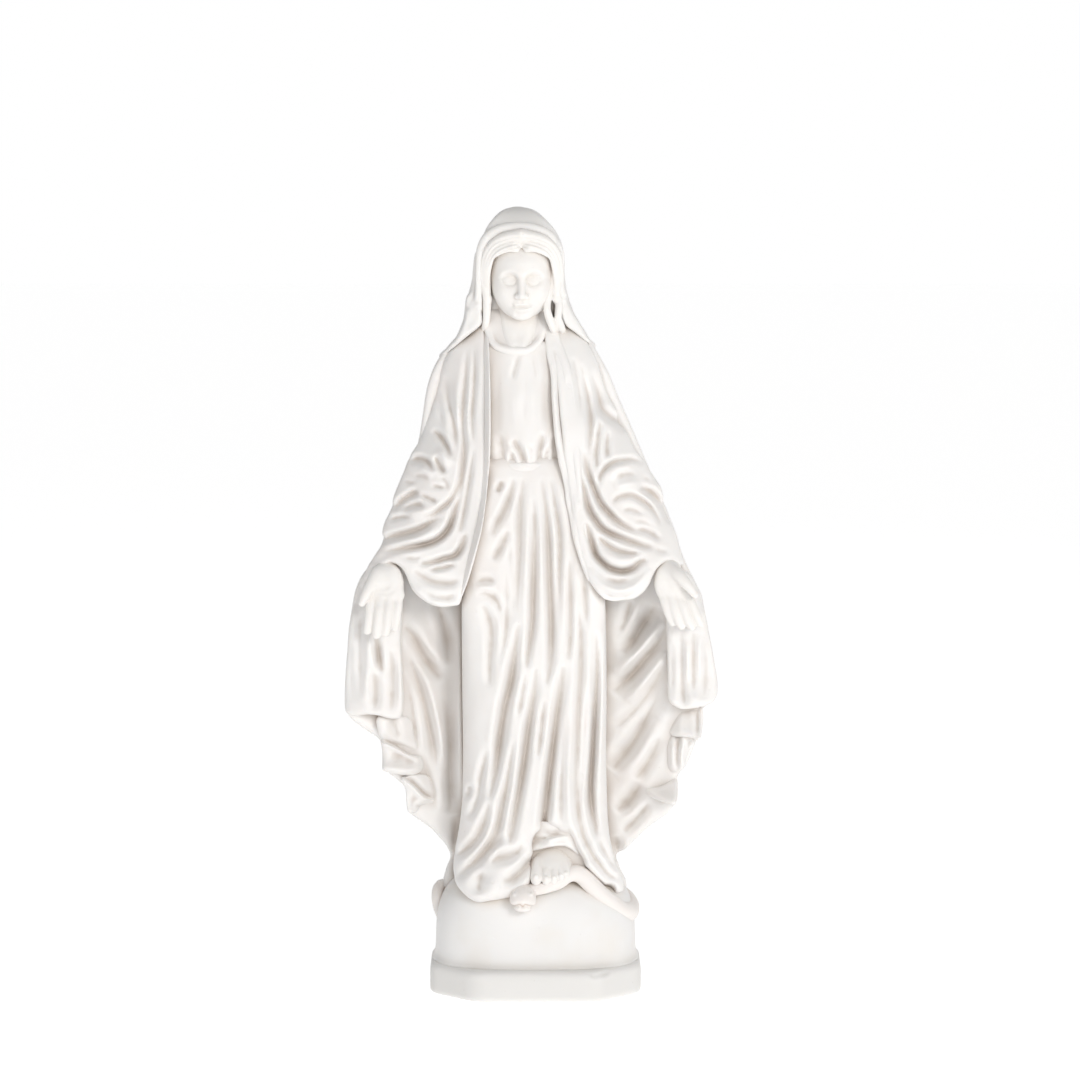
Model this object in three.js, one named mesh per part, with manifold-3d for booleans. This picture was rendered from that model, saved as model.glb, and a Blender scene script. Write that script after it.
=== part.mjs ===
// A devotional statue: a robed, veiled figure with both arms lowered and open, standing
// on a globe with a serpent under one foot, on an eight-sided plinth.
// Millimetres. X runs across the statue, +Z is up, and the figure faces -Y.
// The origin is the centre of the plinth's underside.

import * as THREE from 'three';
import { mergeVertices } from 'three/addons/utils/BufferGeometryUtils.js';
import Module from 'manifold-3d';

const wasm = await Module();
wasm.setup();

// ---- driving sizes -------------------------------------------------------------------

const PLINTH_WIDTH = 81;
const PLINTH_DEPTH = 68;
const PLINTH_HEIGHT = 12;
const PLINTH_CORNER = 17;      // how much of each corner is cut off
const PLINTH_EDGE = 1.2;       // rounding of the top edge

const GLOBE_WIDTH = 77;
const GLOBE_DEPTH = 58;
const GLOBE_HEIGHT = 34;
const GLOBE_SQUARENESS = 4;    // 2 is a true ellipsoid, more is fuller at the shoulder

const SERPENT_RADIUS = 3.4;    // of the body where it is thickest
const SERPENT_SINK = 1.2;      // how far the body's middle sits inside the globe's skin

const FIGURE_HEIGHT = 262;     // hem to the top of the veil
const FIGURE_SPREAD = 144;     // across the open mantle
const FIGURE_DEPTH = 58;       // hem front to mantle back
const HEM_OVERLAP = 8;         // how far the hem hangs below the top of the globe

const HEAD_WIDTH = 23;
const HEAD_DEPTH = 27;
const HEAD_HEIGHT = 31;
const HAIR_THICKNESS = 2.6;
const FINGER_RADIUS = 1.9;
const BELT_HEIGHT = 5;

const GAP = 0.3;               // clearance between neighbouring pieces
const SKIRT_PLEATS = 13;
const SKIRT_PLEAT_DEPTH = 0.9;
const MANTLE_PLEAT_PITCH = 24;
const MANTLE_PLEAT_DEPTH = 1.3;

// ---- from the figure's drawing to its real place -------------------------------------

// The figure is drawn 144 wide, 58 deep and 262 tall, with its hem at height 38, and the
// serpent on a globe 34 tall.
const DRAWN = { spread: 144, depth: 58, height: 262, hem: 38, globe: 34 };
const seatHeight = PLINTH_HEIGHT + GLOBE_HEIGHT - HEM_OVERLAP;

function place(x, y, z) {
  return [
    x * FIGURE_SPREAD / DRAWN.spread,
    y * FIGURE_DEPTH / DRAWN.depth,
    seatHeight + (z - DRAWN.hem) * FIGURE_HEIGHT / DRAWN.height,
  ];
}

// ---- solids --------------------------------------------------------------------------

function solidOf(geometry) {
  const bare = geometry.clone();
  bare.deleteAttribute('normal');
  bare.deleteAttribute('uv');
  const merged = mergeVertices(bare, 1e-4);
  const vertProperties = new Float32Array(merged.attributes.position.array);
  const triVerts = new Uint32Array(merged.index.array);
  return new wasm.Manifold(new wasm.Mesh({ numProp: 3, vertProperties, triVerts }));
}

// Moves every vertex of a geometry to where `to(x, y, z)` says.
function moveVertices(geometry, to) {
  const position = geometry.attributes.position;
  for (let i = 0; i < position.count; i += 1) {
    const [x, y, z] = to(position.getX(i), position.getY(i), position.getZ(i));
    position.setXYZ(i, x, y, z);
  }
  return geometry;
}

// A unit column along Z whose rings are handed to `ring(k, cosine, sine)`; k counts up
// from the bottom, and both are zero at the middle of an end.
function column(ringCount, sides, ring) {
  const cylinder = new THREE.CylinderGeometry(1, 1, 1, sides, ringCount - 1);
  cylinder.rotateX(Math.PI / 2);
  return solidOf(moveVertices(cylinder, (x, y, z) => {
    const level = Math.round((z + 0.5) * (ringCount - 1));
    return ring(level, x, y);
  }));
}

// A column through sections [height, left, right, front, back], each a full oval.
// `pleat(angle, share)` pushes the surface in or out; `share` is 0 at the bottom, 1 at the top.
function loft(sections, grow = 0, sides = 32, fullness = 2.4, pleat = () => 0, to = place) {
  const last = sections.length - 1;
  const round = (value) => Math.sign(value) * Math.abs(value) ** (2 / fullness);
  return column(sections.length, sides, (level, cosine, sine) => {
    const [height, left, right, front, back] = sections[level];
    const reach = pleat(Math.atan2(sine, cosine), level / last) * Math.hypot(cosine, sine);
    const x = (left + right) / 2 + ((right - left) / 2 + grow + reach) * round(cosine);
    const y = (front + back) / 2 + ((back - front) / 2 + grow + reach) * round(sine);
    const lift = level === 0 ? -grow : level === last ? grow : 0;
    return to(x, y, height + lift);
  });
}

// A rounded limb along points [x, y, z, radius].
function limb(points, grow = 0, sides = 10, to = place) {
  const path = new THREE.CatmullRomCurve3(
    points.map(([x, y, z]) => new THREE.Vector3(x, y, z)), false, 'centripetal');
  const steps = (points.length - 1) * 2;
  const frames = path.computeFrenetFrames(steps, false);
  const capShare = 0.55;
  return column(steps + 1, sides, (level, cosine, sine) => {
    const along = level / steps;
    const at = Math.min(along * (points.length - 1), points.length - 1.001);
    const from = Math.floor(at);
    const radius = THREE.MathUtils.lerp(points[from][3], points[from + 1][3], at - from);
    const isEnd = level === 0 || level === steps;
    const girth = (isEnd ? radius * capShare : radius) + grow;
    const spot = path.getPoint(along)
      .addScaledVector(frames.normals[level], girth * cosine)
      .addScaledVector(frames.binormals[level], girth * sine);
    const push = level === 0 ? -grow : level === steps ? grow : 0;
    spot.addScaledVector(frames.tangents[level], push);
    return to(spot.x, spot.y, spot.z);
  });
}

function egg(x, y, z, width, depth, height, grow = 0, segments = 16) {
  const sphere = new THREE.SphereGeometry(0.5, segments, segments / 2);
  sphere.rotateX(Math.PI / 2);
  return solidOf(moveVertices(sphere, (a, b, c) => place(
    x + a * (width + 2 * grow),
    y + b * (depth + 2 * grow),
    z + c * (height + 2 * grow))));
}

// ---- cloth panels --------------------------------------------------------------------

// An outline's points, each moved outwards so that every side moves by `grow`.
function grownOutline(outline, grow) {
  const count = outline.length;
  const corners = outline.map(([x, z]) => new THREE.Vector2(x, z));
  const turn = Math.sign(THREE.ShapeUtils.area(corners));
  return corners.map((corner, i) => {
    const before = corner.clone().sub(corners[(i + count - 1) % count]).normalize();
    const after = corners[(i + 1) % count].clone().sub(corner).normalize();
    const along = before.clone().add(after).normalize();
    const stretch = grow * turn / Math.max(along.dot(after), 0.5);
    return [corner.x + along.y * stretch, corner.y - along.x * stretch];
  });
}

// A smooth closed outline through its corner points.
function softened(outline) {
  const corners = outline.map(([x, z]) => new THREE.Vector3(x, z, 0));
  const curve = new THREE.CatmullRomCurve3(corners, true, 'centripetal');
  return curve.getPoints(corners.length * 1.5).slice(0, -1).map(({ x, y }) => [x, y]);
}

// Depth at (x, z), blended from anchors [x, z, front, back] by nearness.
function depthsAt(anchors, x, z) {
  let weights = 0;
  let front = 0;
  let back = 0;
  for (const [anchorX, anchorZ, anchorFront, anchorBack] of anchors) {
    const nearness = 1 / ((x - anchorX) ** 2 + (z - anchorZ) ** 2 + 30) ** 1.5;
    weights += nearness;
    front += nearness * anchorFront;
    back += nearness * anchorBack;
  }
  return [front / weights, back / weights];
}

// A sheet with the given outline in X and Z. Its front and back follow the anchors, and
// `foldFront` and `foldBack` wave them. `cell` is the width of a facet, and `tall` its height.
function panel(outline, anchors, grow = 0, look = {}) {
  const { foldFront = () => 0, foldBack = () => 0, cell = 8, tall = 1.6, soft = true } = look;
  const plain = soft ? softened(outline) : outline;
  const xs = plain.map(([x]) => x);
  const zs = plain.map(([, z]) => z);
  const margin = 2;
  const [lowX, highX] = [Math.min(...xs) - margin, Math.max(...xs) + margin];
  const [lowZ, highZ] = [Math.min(...zs) - margin, Math.max(...zs) + margin];
  const across = Math.ceil((highX - lowX) / cell);
  const up = Math.ceil((highZ - lowZ) / (cell * tall));
  const block = new THREE.BoxGeometry(highX - lowX, 1, highZ - lowZ, across, 1, up);
  block.translate((lowX + highX) / 2, 0, (lowZ + highZ) / 2);
  const sheet = solidOf(moveVertices(block, (x, side, z) => {
    const [front, back] = depthsAt(anchors, x, z);
    const depth = side < 0 ? front - grow + foldFront(x, z) : back + grow + foldBack(x, z);
    return place(x, depth, z);
  }));
  const reach = 160;
  const edge = grownOutline(plain, grow);
  const shape = new THREE.Shape(edge.map(([x, z]) => new THREE.Vector2(x, z)));
  const prism = new THREE.ExtrudeGeometry(shape, { depth: reach, bevelEnabled: false });
  prism.rotateX(Math.PI / 2).translate(0, reach / 2, 0);
  return sheet.intersect(solidOf(moveVertices(prism, place)));
}

// ---- plinth and globe ----------------------------------------------------------------

function plinth(grow) {
  const [w, d, c] = [PLINTH_WIDTH / 2, PLINTH_DEPTH / 2, PLINTH_CORNER];
  const corners = [
    [w - c, -d], [w, -d + c], [w, d - c], [w - c, d],
    [-w + c, d], [-w, d - c], [-w, -d + c], [-w + c, -d],
  ];
  const inset = PLINTH_EDGE - grow;
  const shape = new THREE.Shape(corners.map(([x, y]) => new THREE.Vector2(x, y)));
  const block = new THREE.ExtrudeGeometry(shape, {
    depth: PLINTH_HEIGHT - PLINTH_EDGE,
    bevelThickness: PLINTH_EDGE,
    bevelSize: PLINTH_EDGE,
    bevelOffset: -inset,
    bevelSegments: 3,
  });
  return solidOf(block).trimByPlane([0, 0, 1], 0);
}

// The share of the globe's full girth that is left at a height.
function globeGirth(height) {
  const share = Math.min(Math.max((height - PLINTH_HEIGHT) / GLOBE_HEIGHT, 0), 1);
  return (1 - share ** GLOBE_SQUARENESS) ** (1 / GLOBE_SQUARENESS);
}

function globe(grow) {
  const profile = [new THREE.Vector2(0, -grow)];
  const steps = 8;
  for (let i = 0; i <= steps; i += 1) {
    const turn = (i / steps) * Math.PI / 2;
    const radius = Math.cos(turn) ** (2 / GLOBE_SQUARENESS);
    const height = Math.sin(turn) ** (2 / GLOBE_SQUARENESS);
    profile.push(new THREE.Vector2(i === steps ? 0 : radius, height * (GLOBE_HEIGHT + grow)));
  }
  profile[1].y = -grow;
  const dome = new THREE.LatheGeometry(profile, 36);
  dome.rotateX(Math.PI / 2);
  return solidOf(moveVertices(dome, (x, y, z) => [
    x * (GLOBE_WIDTH / 2 + grow), y * (GLOBE_DEPTH / 2 + grow), PLINTH_HEIGHT + z,
  ]));
}

// ---- serpent -------------------------------------------------------------------------

const asBuilt = (x, y, z) => [x, y, z];

// A point round the globe: angle in degrees from +X towards +Y, drawn height above the
// plinth, and how far it stands out of the skin.
function onGlobe(angle, drawnRise, out) {
  const rise = drawnRise * GLOBE_HEIGHT / DRAWN.globe;
  const girth = globeGirth(PLINTH_HEIGHT + rise);
  const turn = THREE.MathUtils.degToRad(angle);
  return [
    (GLOBE_WIDTH / 2 * girth + out) * Math.cos(turn),
    (GLOBE_DEPTH / 2 * girth + out) * Math.sin(turn),
    PLINTH_HEIGHT + rise,
  ];
}

function serpentRoute(stations) {
  return stations.map(([angle, rise, girth]) => [
    ...onGlobe(angle, rise, -SERPENT_SINK * girth), SERPENT_RADIUS * girth,
  ]);
}

// From the neck under the foot, round the right side and the back of the globe.
const SERPENT_BODY = [
  [-92, 29, 0.75], [-70, 29, 0.8], [-55, 27, 0.9], [-38, 21, 1], [-20, 17, 1.1],
  [0, 16, 1.15], [30, 17, 1.1], [60, 19, 1], [90, 21, 0.95], [120, 22, 0.9],
  [145, 23, 0.8], [166, 24, 0.7],
];
const SERPENT_TAIL = [[172, 24, 0.7], [180, 21, 0.65], [184, 16, 0.55]];

const serpentBody = (grow) => limb(serpentRoute(SERPENT_BODY), grow, 9, asBuilt);
const serpentTail = (grow) => limb(serpentRoute(SERPENT_TAIL), grow, 10, asBuilt);

function serpentHead(grow) {
  const [x, y, z] = onGlobe(-98, 25.5, 0);
  const snout = [x, y - 4, z - 0.4];
  return limb([
    [x, y + 5, z + 0.5, 3.6], [x, y, z, 4.9], [x, y - 2, z - 0.2, 4.6], [...snout, 3],
  ], grow, 14, asBuilt);
}

// ---- the figure's body ---------------------------------------------------------------

const HEAD_SPOT = [-6, -6.5, 274];

function head(grow) {
  const [x, y, z] = HEAD_SPOT;
  const skull = egg(x, y + 1, z + 2, HEAD_WIDTH, HEAD_DEPTH, HEAD_HEIGHT - 6, grow);
  const jaw = egg(x, y - 3, z - 5, HEAD_WIDTH - 4, HEAD_DEPTH - 7, HEAD_HEIGHT - 10, grow);
  const front = y + 1 - HEAD_DEPTH / 2;
  const nose = limb([
    [x, front + 1.6, z + 3, 1], [x, front - 0.6, z - 1, 1.3], [x, front - 1.4, z - 4, 1.7],
  ], grow, 8);
  return skull.add(jaw).add(nose);
}

function neck(grow) {
  return loft([
    [241, -15, 3, -13, 5], [248, -14.5, 2.5, -14, 4], [262, -13.5, 1.5, -15, 4],
  ], grow, 24);
}

function hair(grow) {
  const [x, y, z] = HEAD_SPOT;
  const [w, h] = [HEAD_WIDTH + 2 * HAIR_THICKNESS, HEAD_HEIGHT + HAIR_THICKNESS];
  const crown = egg(x, y + 3.5, z + 1, w, HEAD_DEPTH + HAIR_THICKNESS, h, grow);
  const leftLock = limb([
    [-15, -13, 285, 1.6], [-18, -12, 276, 2], [-18.5, -11, 266, 1.8], [-19, -9, 257, 1.4],
  ], grow, 8);
  const rightLock = limb([
    [4, -13, 284, 1.6], [7, -12, 275, 2.2], [6.5, -12, 265, 2.4], [8, -12, 255, 2],
  ], grow, 8);
  return crown.add(leftLock).add(rightLock);
}

function collar(grow) {
  return loft([[244, -17, 4.5, -16, 6], [249, -15.5, 3.5, -15, 5.5]], grow, 28);
}

function bodice(grow) {
  return loft([
    [197 + BELT_HEIGHT + GAP, -17.5, 10, -17.5, 6], [215, -18.5, 10, -19, 5],
    [230, -20, 9, -19, 4], [239, -21, 10, -17, 3], [246, -19, 7, -14.5, 2],
  ], grow, 28);
}

function belt(grow) {
  return loft([
    [197, -17.5, 10.5, -19, 6], [197 + BELT_HEIGHT, -17.5, 10.5, -19, 6],
  ], grow);
}

const SKIRT = [
  [38, -33, 30, -30, 10], [50, -31.5, 30.5, -29.5, 10], [75, -28.5, 28, -27, 9],
  [110, -28.5, 27, -26, 9], [150, -27.5, 26, -25.5, 8], [172, -22.5, 16.5, -22.5, 7],
  [197 - GAP, -17, 10.5, -18, 6],
];

// The arch in the skirt's hem that the foot and the underskirt come out of.
const HEM_ARCH = [
  [30, -2.5, 15, -60, -12], [50, -2.5, 14.5, -60, -12], [59, -1.5, 13, -60, -12],
  [63, 1, 11.5, -60, -12],
];

function skirt(grow) {
  const pleat = (angle, share) => SKIRT_PLEAT_DEPTH * (1.3 - share)
    * Math.cos(SKIRT_PLEATS * angle + 2 * share);
  const cloth = loft(SKIRT, grow, SKIRT_PLEATS * 3, 2.5, pleat);
  return cloth.subtract(loft(HEM_ARCH, -grow, 16));
}

function underskirt(grow) {
  return loft([
    [52, -1.9, 13.9, -27.5, -12.5], [58, -1, 12.7, -27.5, -12.5], [62.4, 1.5, 11, -26.5, -12.5],
  ], grow, 20);
}

function foot(grow) {
  let solid = egg(6, -17, 48, 14.5, 20, 11, grow);
  const toes = 5;
  for (let i = 0; i < toes; i += 1) {
    const x = 1.4 + i * 2.5;
    const radius = i === 0 ? 1.9 : 1.5;
    const tip = -28.5 + i * 0.5;
    solid = solid.add(limb([
      [x, -21, 48, radius], [x, -25, 46.6, radius], [x, tip, 45.4, radius],
    ], grow, 8));
  }
  return solid;
}

// ---- veil ----------------------------------------------------------------------------

const VEIL_OUTSIDE = [
  [250, -31, 21.5, -9, 17], [257, -28.2, 17, -11, 17], [264, -27, 13, -12, 17],
  [272, -24.7, 11.3, -13, 17], [281, -23.4, 11.2, -13.5, 17], [287, -21.3, 10, -13, 16.5],
  [293, -18.5, 6, -11.5, 14], [297.5, -14, 0.5, -8, 9.5], [300, -9, -4.5, -3, 3],
];
const VEIL_OPENING_FRONT = -60;
const VEIL_INSIDE = [
  [246, -21, 12, VEIL_OPENING_FRONT, 11], [257, -20.3, 10, VEIL_OPENING_FRONT, 11],
  [272, -20, 8.7, VEIL_OPENING_FRONT, 11], [281, -19.3, 8, VEIL_OPENING_FRONT, 11],
  [288, -16.5, 5.5, VEIL_OPENING_FRONT, 9], [293, -11, 0, VEIL_OPENING_FRONT, 4],
];

function veil(grow) {
  return loft(VEIL_OUTSIDE, grow, 28).subtract(loft(VEIL_INSIDE, -grow, 28));
}

// ---- mantle --------------------------------------------------------------------------

const pleats = (x, z) => MANTLE_PLEAT_DEPTH * Math.sin(2 * Math.PI * x / MANTLE_PLEAT_PITCH)
  * THREE.MathUtils.smoothstep(250 - z, 0, 160);

const MANTLE_SPLIT_LEFT = -30.5;
const MANTLE_SPLIT_RIGHT = 29.5;
const MANTLE_SPLIT_HEIGHT = 165;

const MANTLE_BACK = [
  [-24, 259], [-29, 252], [-36, 246], [-40, 237], [-43.2, 225], [-46, 210], [-50.5, 200],
  [-54.8, 189], [-58.3, 178], [-60, 170], [-61.5, MANTLE_SPLIT_HEIGHT],
  [MANTLE_SPLIT_LEFT, MANTLE_SPLIT_HEIGHT], [MANTLE_SPLIT_LEFT, 60], [-32, 52], [-35, 45],
  [-37.5, DRAWN.hem], [35, DRAWN.hem], [35, 44], [31.5, 50], [MANTLE_SPLIT_RIGHT, 60],
  [MANTLE_SPLIT_RIGHT, MANTLE_SPLIT_HEIGHT], [58.5, MANTLE_SPLIT_HEIGHT], [56.5, 169],
  [54, 178], [50.5, 187], [45.5, 199], [39.5, 210], [34, 223], [30, 234], [25, 244],
  [20, 252], [13, 259],
];
const MANTLE_BACK_DEPTHS = [
  [-5, 256, 6, 15], [-30, 246, 0, 9], [22, 244, 0, 9], [-44, 207, -5, 7], [40, 205, -5, 7],
  [-5, 205, 12, 22], [-5, 150, 17, 27], [-5, 50, 18, 28], [-30, 130, 8, 16],
  [29, 130, 8, 16], [-34, 48, 4, 22], [33, 48, 4, 22], [-58, 172, -9, 2], [55, 172, -9, 2],
];

const WING_LEFT = [
  [MANTLE_SPLIT_LEFT - GAP, MANTLE_SPLIT_HEIGHT - GAP], [-61.5, MANTLE_SPLIT_HEIGHT - GAP],
  [-66.5, 160], [-69.5, 152], [-71.5, 142], [-72.7, 132], [-73.5, 120], [-73.7, 110],
  [-72.5, 104], [-67.5, 100.5], [-61, 96], [-59, 84], [-53, 80], [-50, 75], [-49, 67],
  [-44, 63.5], [-37, 57], [-33, 51], [MANTLE_SPLIT_LEFT - GAP, 56],
];
const WING_LEFT_DEPTHS = [
  [-31, 160, 7, 15], [-31, 100, 7, 15], [-31, 58, 6, 17], [-62, 162, -11, -2],
  [-72, 130, -12, -5], [-70, 108, -10, -3], [-50, 135, 1, 8], [-50, 105, 2, 9],
  [-58, 92, -3, 4], [-48, 72, 1, 8],
];
const WING_RIGHT = [
  [MANTLE_SPLIT_RIGHT + GAP, MANTLE_SPLIT_HEIGHT - GAP], [58.5, MANTLE_SPLIT_HEIGHT - GAP],
  [61.5, 157], [64.5, 149], [66.5, 140], [68, 132], [69.2, 124], [70.2, 114], [69, 110.5],
  [64.5, 107], [64, 97], [60.5, 89], [55.5, 82], [55, 72], [50, 66], [42, 60], [35, 53],
  [31.7, 49.5], [MANTLE_SPLIT_RIGHT + GAP, 56],
];
const WING_RIGHT_DEPTHS = [
  [30, 160, 7, 15], [30, 100, 7, 15], [30, 58, 6, 17], [60, 160, -11, -2],
  [68, 128, -12, -5], [66, 110, -9, -2], [48, 135, 1, 8], [48, 105, 2, 9],
  [60, 95, -3, 4], [50, 72, 1, 8],
];

const mantleBack = (grow) => panel(MANTLE_BACK, MANTLE_BACK_DEPTHS, grow,
  { foldBack: pleats, cell: 8, soft: false });
const wingLeft = (grow) => panel(WING_LEFT, WING_LEFT_DEPTHS, grow, { cell: 9, soft: false });
const wingRight = (grow) => panel(WING_RIGHT, WING_RIGHT_DEPTHS, grow, { cell: 9, soft: false });

// Front edges of the mantle, from the shoulders down over the arms.
const FRONT_LEFT = [
  [-17, 248], [-24, 251], [-28.5, 242], [-29, 226], [-28, 211], [-29.5, 196], [-32, 181],
  [-33, 168], [-31.5, 152], [-28.5, 147.5], [-25.5, 157], [-22.5, 168], [-20, 179],
  [-18.3, 190], [-17.3, 201], [-17, 225],
];
const FRONT_LEFT_DEPTHS = [
  [-22, 247, -13, -2], [-22, 225, -18, -4], [-22, 202, -21, -6], [-25, 175, -24, -8],
  [-29, 152, -26.5, -10],
];
const FRONT_RIGHT = [
  [4, 248], [5.5, 235], [6.5, 222], [7.5, 209], [9, 200], [11, 190], [13.3, 179],
  [16, 169], [19.5, 159], [22, 163], [22, 176], [21, 190], [22, 203], [21.5, 217],
  [20, 232], [17, 243], [11, 250],
];
const FRONT_RIGHT_DEPTHS = [
  [12, 247, -13, -2], [14, 225, -18, -4], [15, 202, -21, -6], [17, 180, -23.5, -8],
  [20, 162, -25.5, -10],
];
const frontLeft = (grow) => panel(FRONT_LEFT, FRONT_LEFT_DEPTHS, grow, { cell: 8 });
const frontRight = (grow) => panel(FRONT_RIGHT, FRONT_RIGHT_DEPTHS, grow, { cell: 8 });

// ---- sleeves and hands ---------------------------------------------------------------

const SLEEVE_LEFT = [
  [-22, 251.5], [-30, 247.5], [-35.5, 240], [-38, 230], [-41.5, 219], [-46.5, 207],
  [-51.5, 197], [-55, 187], [-58.5, 177], [-60, 169], [-62.5, 158], [-59.5, 161],
  [-56.5, 165], [-52, 163], [-47.5, 155.5], [-41, 150.5], [-34, 149], [-28.5, 149.5],
  [-25, 160], [-20.5, 180], [-19, 200], [-19, 225],
];
const SLEEVE_LEFT_DEPTHS = [
  [-28, 244, -11, 3], [-35, 222, -13, 3], [-40, 205, -15, 1], [-48, 180, -18, -2],
  [-56, 167, -22, -6], [-32, 152, -26, -6], [-44, 155, -25, -8], [-24, 195, -19, -4],
];
const SLEEVE_RIGHT = [
  [11, 250.5], [19, 248], [24.5, 239], [28, 230], [31.5, 221], [35.5, 212], [40.5, 203.5],
  [45, 195], [49, 187], [52.5, 178], [55, 169], [55.5, 164], [51.5, 165], [47.5, 163],
  [43.5, 157], [38, 152.5], [30, 151], [24, 153.5], [20, 159.5], [18, 175], [18, 200],
  [16, 235],
];
const SLEEVE_RIGHT_DEPTHS = [
  [18, 244, -11, 3], [26, 222, -13, 3], [34, 205, -15, 1], [43, 180, -18, -2],
  [51, 167, -22, -6], [28, 154, -26, -6], [40, 156, -25, -8], [21, 195, -19, -4],
];
const gathers = (x, z) => 0.8 * Math.sin((z - 0.5 * Math.abs(x)) / 4);
const sleeveLook = { foldFront: gathers, tall: 1 };
const sleeveLeft = (grow) => panel(SLEEVE_LEFT, SLEEVE_LEFT_DEPTHS, grow, sleeveLook);
const sleeveRight = (grow) => panel(SLEEVE_RIGHT, SLEEVE_RIGHT_DEPTHS, grow, sleeveLook);

// A hand hanging open: palm sections, finger roots and tips [x, z], and a thumb.
function hand(palm, fingers, thumb, grow) {
  let solid = loft(palm, grow, 18);
  for (const [[rootX, rootZ], [tipX, tipZ]] of fingers) {
    const middle = [(rootX + tipX) / 2, -24.5, (rootZ + tipZ) / 2, FINGER_RADIUS];
    solid = solid.add(limb([
      [rootX, -23.5, rootZ, FINGER_RADIUS], middle, [tipX, -23, tipZ, FINGER_RADIUS * 0.8],
    ], grow, 8));
  }
  return solid.add(limb(thumb, grow, 8));
}

const handLeft = (grow) => hand(
  [[145, -64, -51, -26, -21], [153, -64.5, -50.5, -27, -19], [160, -63, -51, -26, -17],
    [167, -61, -52.5, -24, -15]],
  [[[-62.5, 149], [-63.5, 139.5]], [[-59, 149], [-60.5, 137.5]], [[-55.5, 149], [-57, 138]],
    [[-52.3, 149], [-53.5, 140]]],
  [[-61, -23, 160, 2.4], [-64.5, -24.5, 155, 2.2], [-66.3, -25, 150.5, 1.7]],
  grow);
const handRight = (grow) => hand(
  [[147, 49.5, 62, -26, -21], [154, 47.5, 61, -27, -19], [160, 46.5, 59.5, -26, -17],
    [167, 48, 57, -24, -15]],
  [[[51, 151], [51.5, 143.5]], [[54.5, 151], [55.3, 142]], [[58, 151], [59, 141.5]],
    [[60.8, 151], [62, 143]]],
  [[50, -24, 162, 2.3], [55.5, -27.5, 158, 2.3], [60, -28, 153.5, 1.8]],
  grow);

// ---- the mantle's turned-back edges, stepping down on both sides -----------------------

const CASCADES = {
  cascade_left_upper: [
    [[-73.3, 106.5], [-73.4, 118], [-72.5, 131], [-71, 142], [-69, 151], [-64, 159],
      [-52, 161], [-50, 148], [-51, 132], [-50.8, 106], [-55, 104.8], [-62, 106.5],
      [-69, 106.3]],
    [[-66, 155, -19, -8], [-62, 130, -17.5, -3], [-72, 120, -15, -3], [-52, 120, -15, 3]],
  ],
  cascade_left_middle: [
    [[-60, 103], [-59.3, 93], [-58.8, 84.5], [-54, 83.3], [-48, 82.5], [-43.5, 86],
      [-45, 95], [-49, 103.5]],
    [[-57, 95, -11, 0], [-46, 90, -8, 6]],
  ],
  cascade_left_lower: [
    [[-51.5, 80.5], [-50, 76], [-49.8, 69], [-46.5, 66.5], [-40, 68.5], [-37, 74],
      [-40, 80.5]],
    [[-48, 74, -8, 4], [-39, 74, -3, 8]],
  ],
  cascade_right_upper: [
    [[49.5, 150], [50, 138], [50.5, 120], [50.7, 112], [54, 108.8], [62, 109.3],
      [68, 111], [69.7, 116], [68.7, 127], [67, 137], [64.7, 148], [61, 157], [52, 159]],
    [[61, 153, -19, -8], [59, 130, -17.5, -3], [68, 120, -15, -3], [51, 120, -15, 3]],
  ],
  cascade_right_middle: [
    [[50, 107.5], [50, 100], [54, 98.3], [60, 97.5], [62.5, 95], [64, 99], [64.3, 107.3],
      [58, 107.8]],
    [[62, 102, -12, -1], [51, 102, -9, 5]],
  ],
  cascade_right_lower: [
    [[50.5, 96.7], [49.5, 84.5], [54, 83.5], [57.5, 86.5], [60.5, 92], [59, 96.7]],
    [[58, 92, -9, 2], [50, 92, -6, 6]],
  ],
  cascade_right_lowest: [
    [[41.5, 80], [46, 81], [52, 82], [54.5, 81.3], [54.8, 73], [53.5, 70.5], [49, 72.3],
      [43, 74.5]],
    [[52, 76, -8, 2], [43, 77, -4, 7]],
  ],
};

// ---- assembly ------------------------------------------------------------------------

// Each piece is cut clear of the pieces listed before it.
const PIECES = [
  ['plinth', plinth], ['globe', globe],
  ['serpent_head', serpentHead], ['serpent_body', serpentBody],
  ['serpent_tail', serpentTail], ['foot', foot],
  ['hand_left', handLeft], ['hand_right', handRight],
  ['head', head], ['neck', neck], ['veil', veil], ['hair', hair], ['collar', collar],
  ['mantle_front_left', frontLeft], ['mantle_front_right', frontRight],
  ['sleeve_left', sleeveLeft], ['sleeve_right', sleeveRight],
  ['mantle_back', mantleBack], ['mantle_wing_left', wingLeft],
  ['mantle_wing_right', wingRight],
  ...Object.entries(CASCADES).map(([name, [outline, depths]]) => [
    name, (grow) => panel(outline, depths, grow),
  ]),
  ['belt', belt], ['underskirt', underskirt], ['bodice', bodice], ['skirt', skirt],
];

function overlapping(a, b) {
  const [boxA, boxB] = [a.boundingBox(), b.boundingBox()];
  return [0, 1, 2].every((i) => boxA.min[i] <= boxB.max[i] && boxB.min[i] <= boxA.max[i]);
}

const largest = (solid) => solid.decompose()
  .reduce((best, part) => (part.volume() > best.volume() ? part : best));

function cutClear(pieces) {
  const grown = [];
  return pieces.map(([name, make]) => {
    let solid = make(0);
    for (const other of grown) {
      if (overlapping(solid, other)) solid = solid.subtract(other);
    }
    // The globe stands flat on the plinth, so the plinth takes nothing from it.
    if (name !== 'plinth') grown.push(make(GAP));
    return [name, largest(solid)];
  });
}

const STONE = { color: 0xe6e1d8, roughness: 0.6, metalness: 0 };
const VEIL_STONE = { color: 0xd9d6d0, roughness: 0.62, metalness: 0 };
const GREYED = new Set(['veil', 'globe', 'plinth']);

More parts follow.
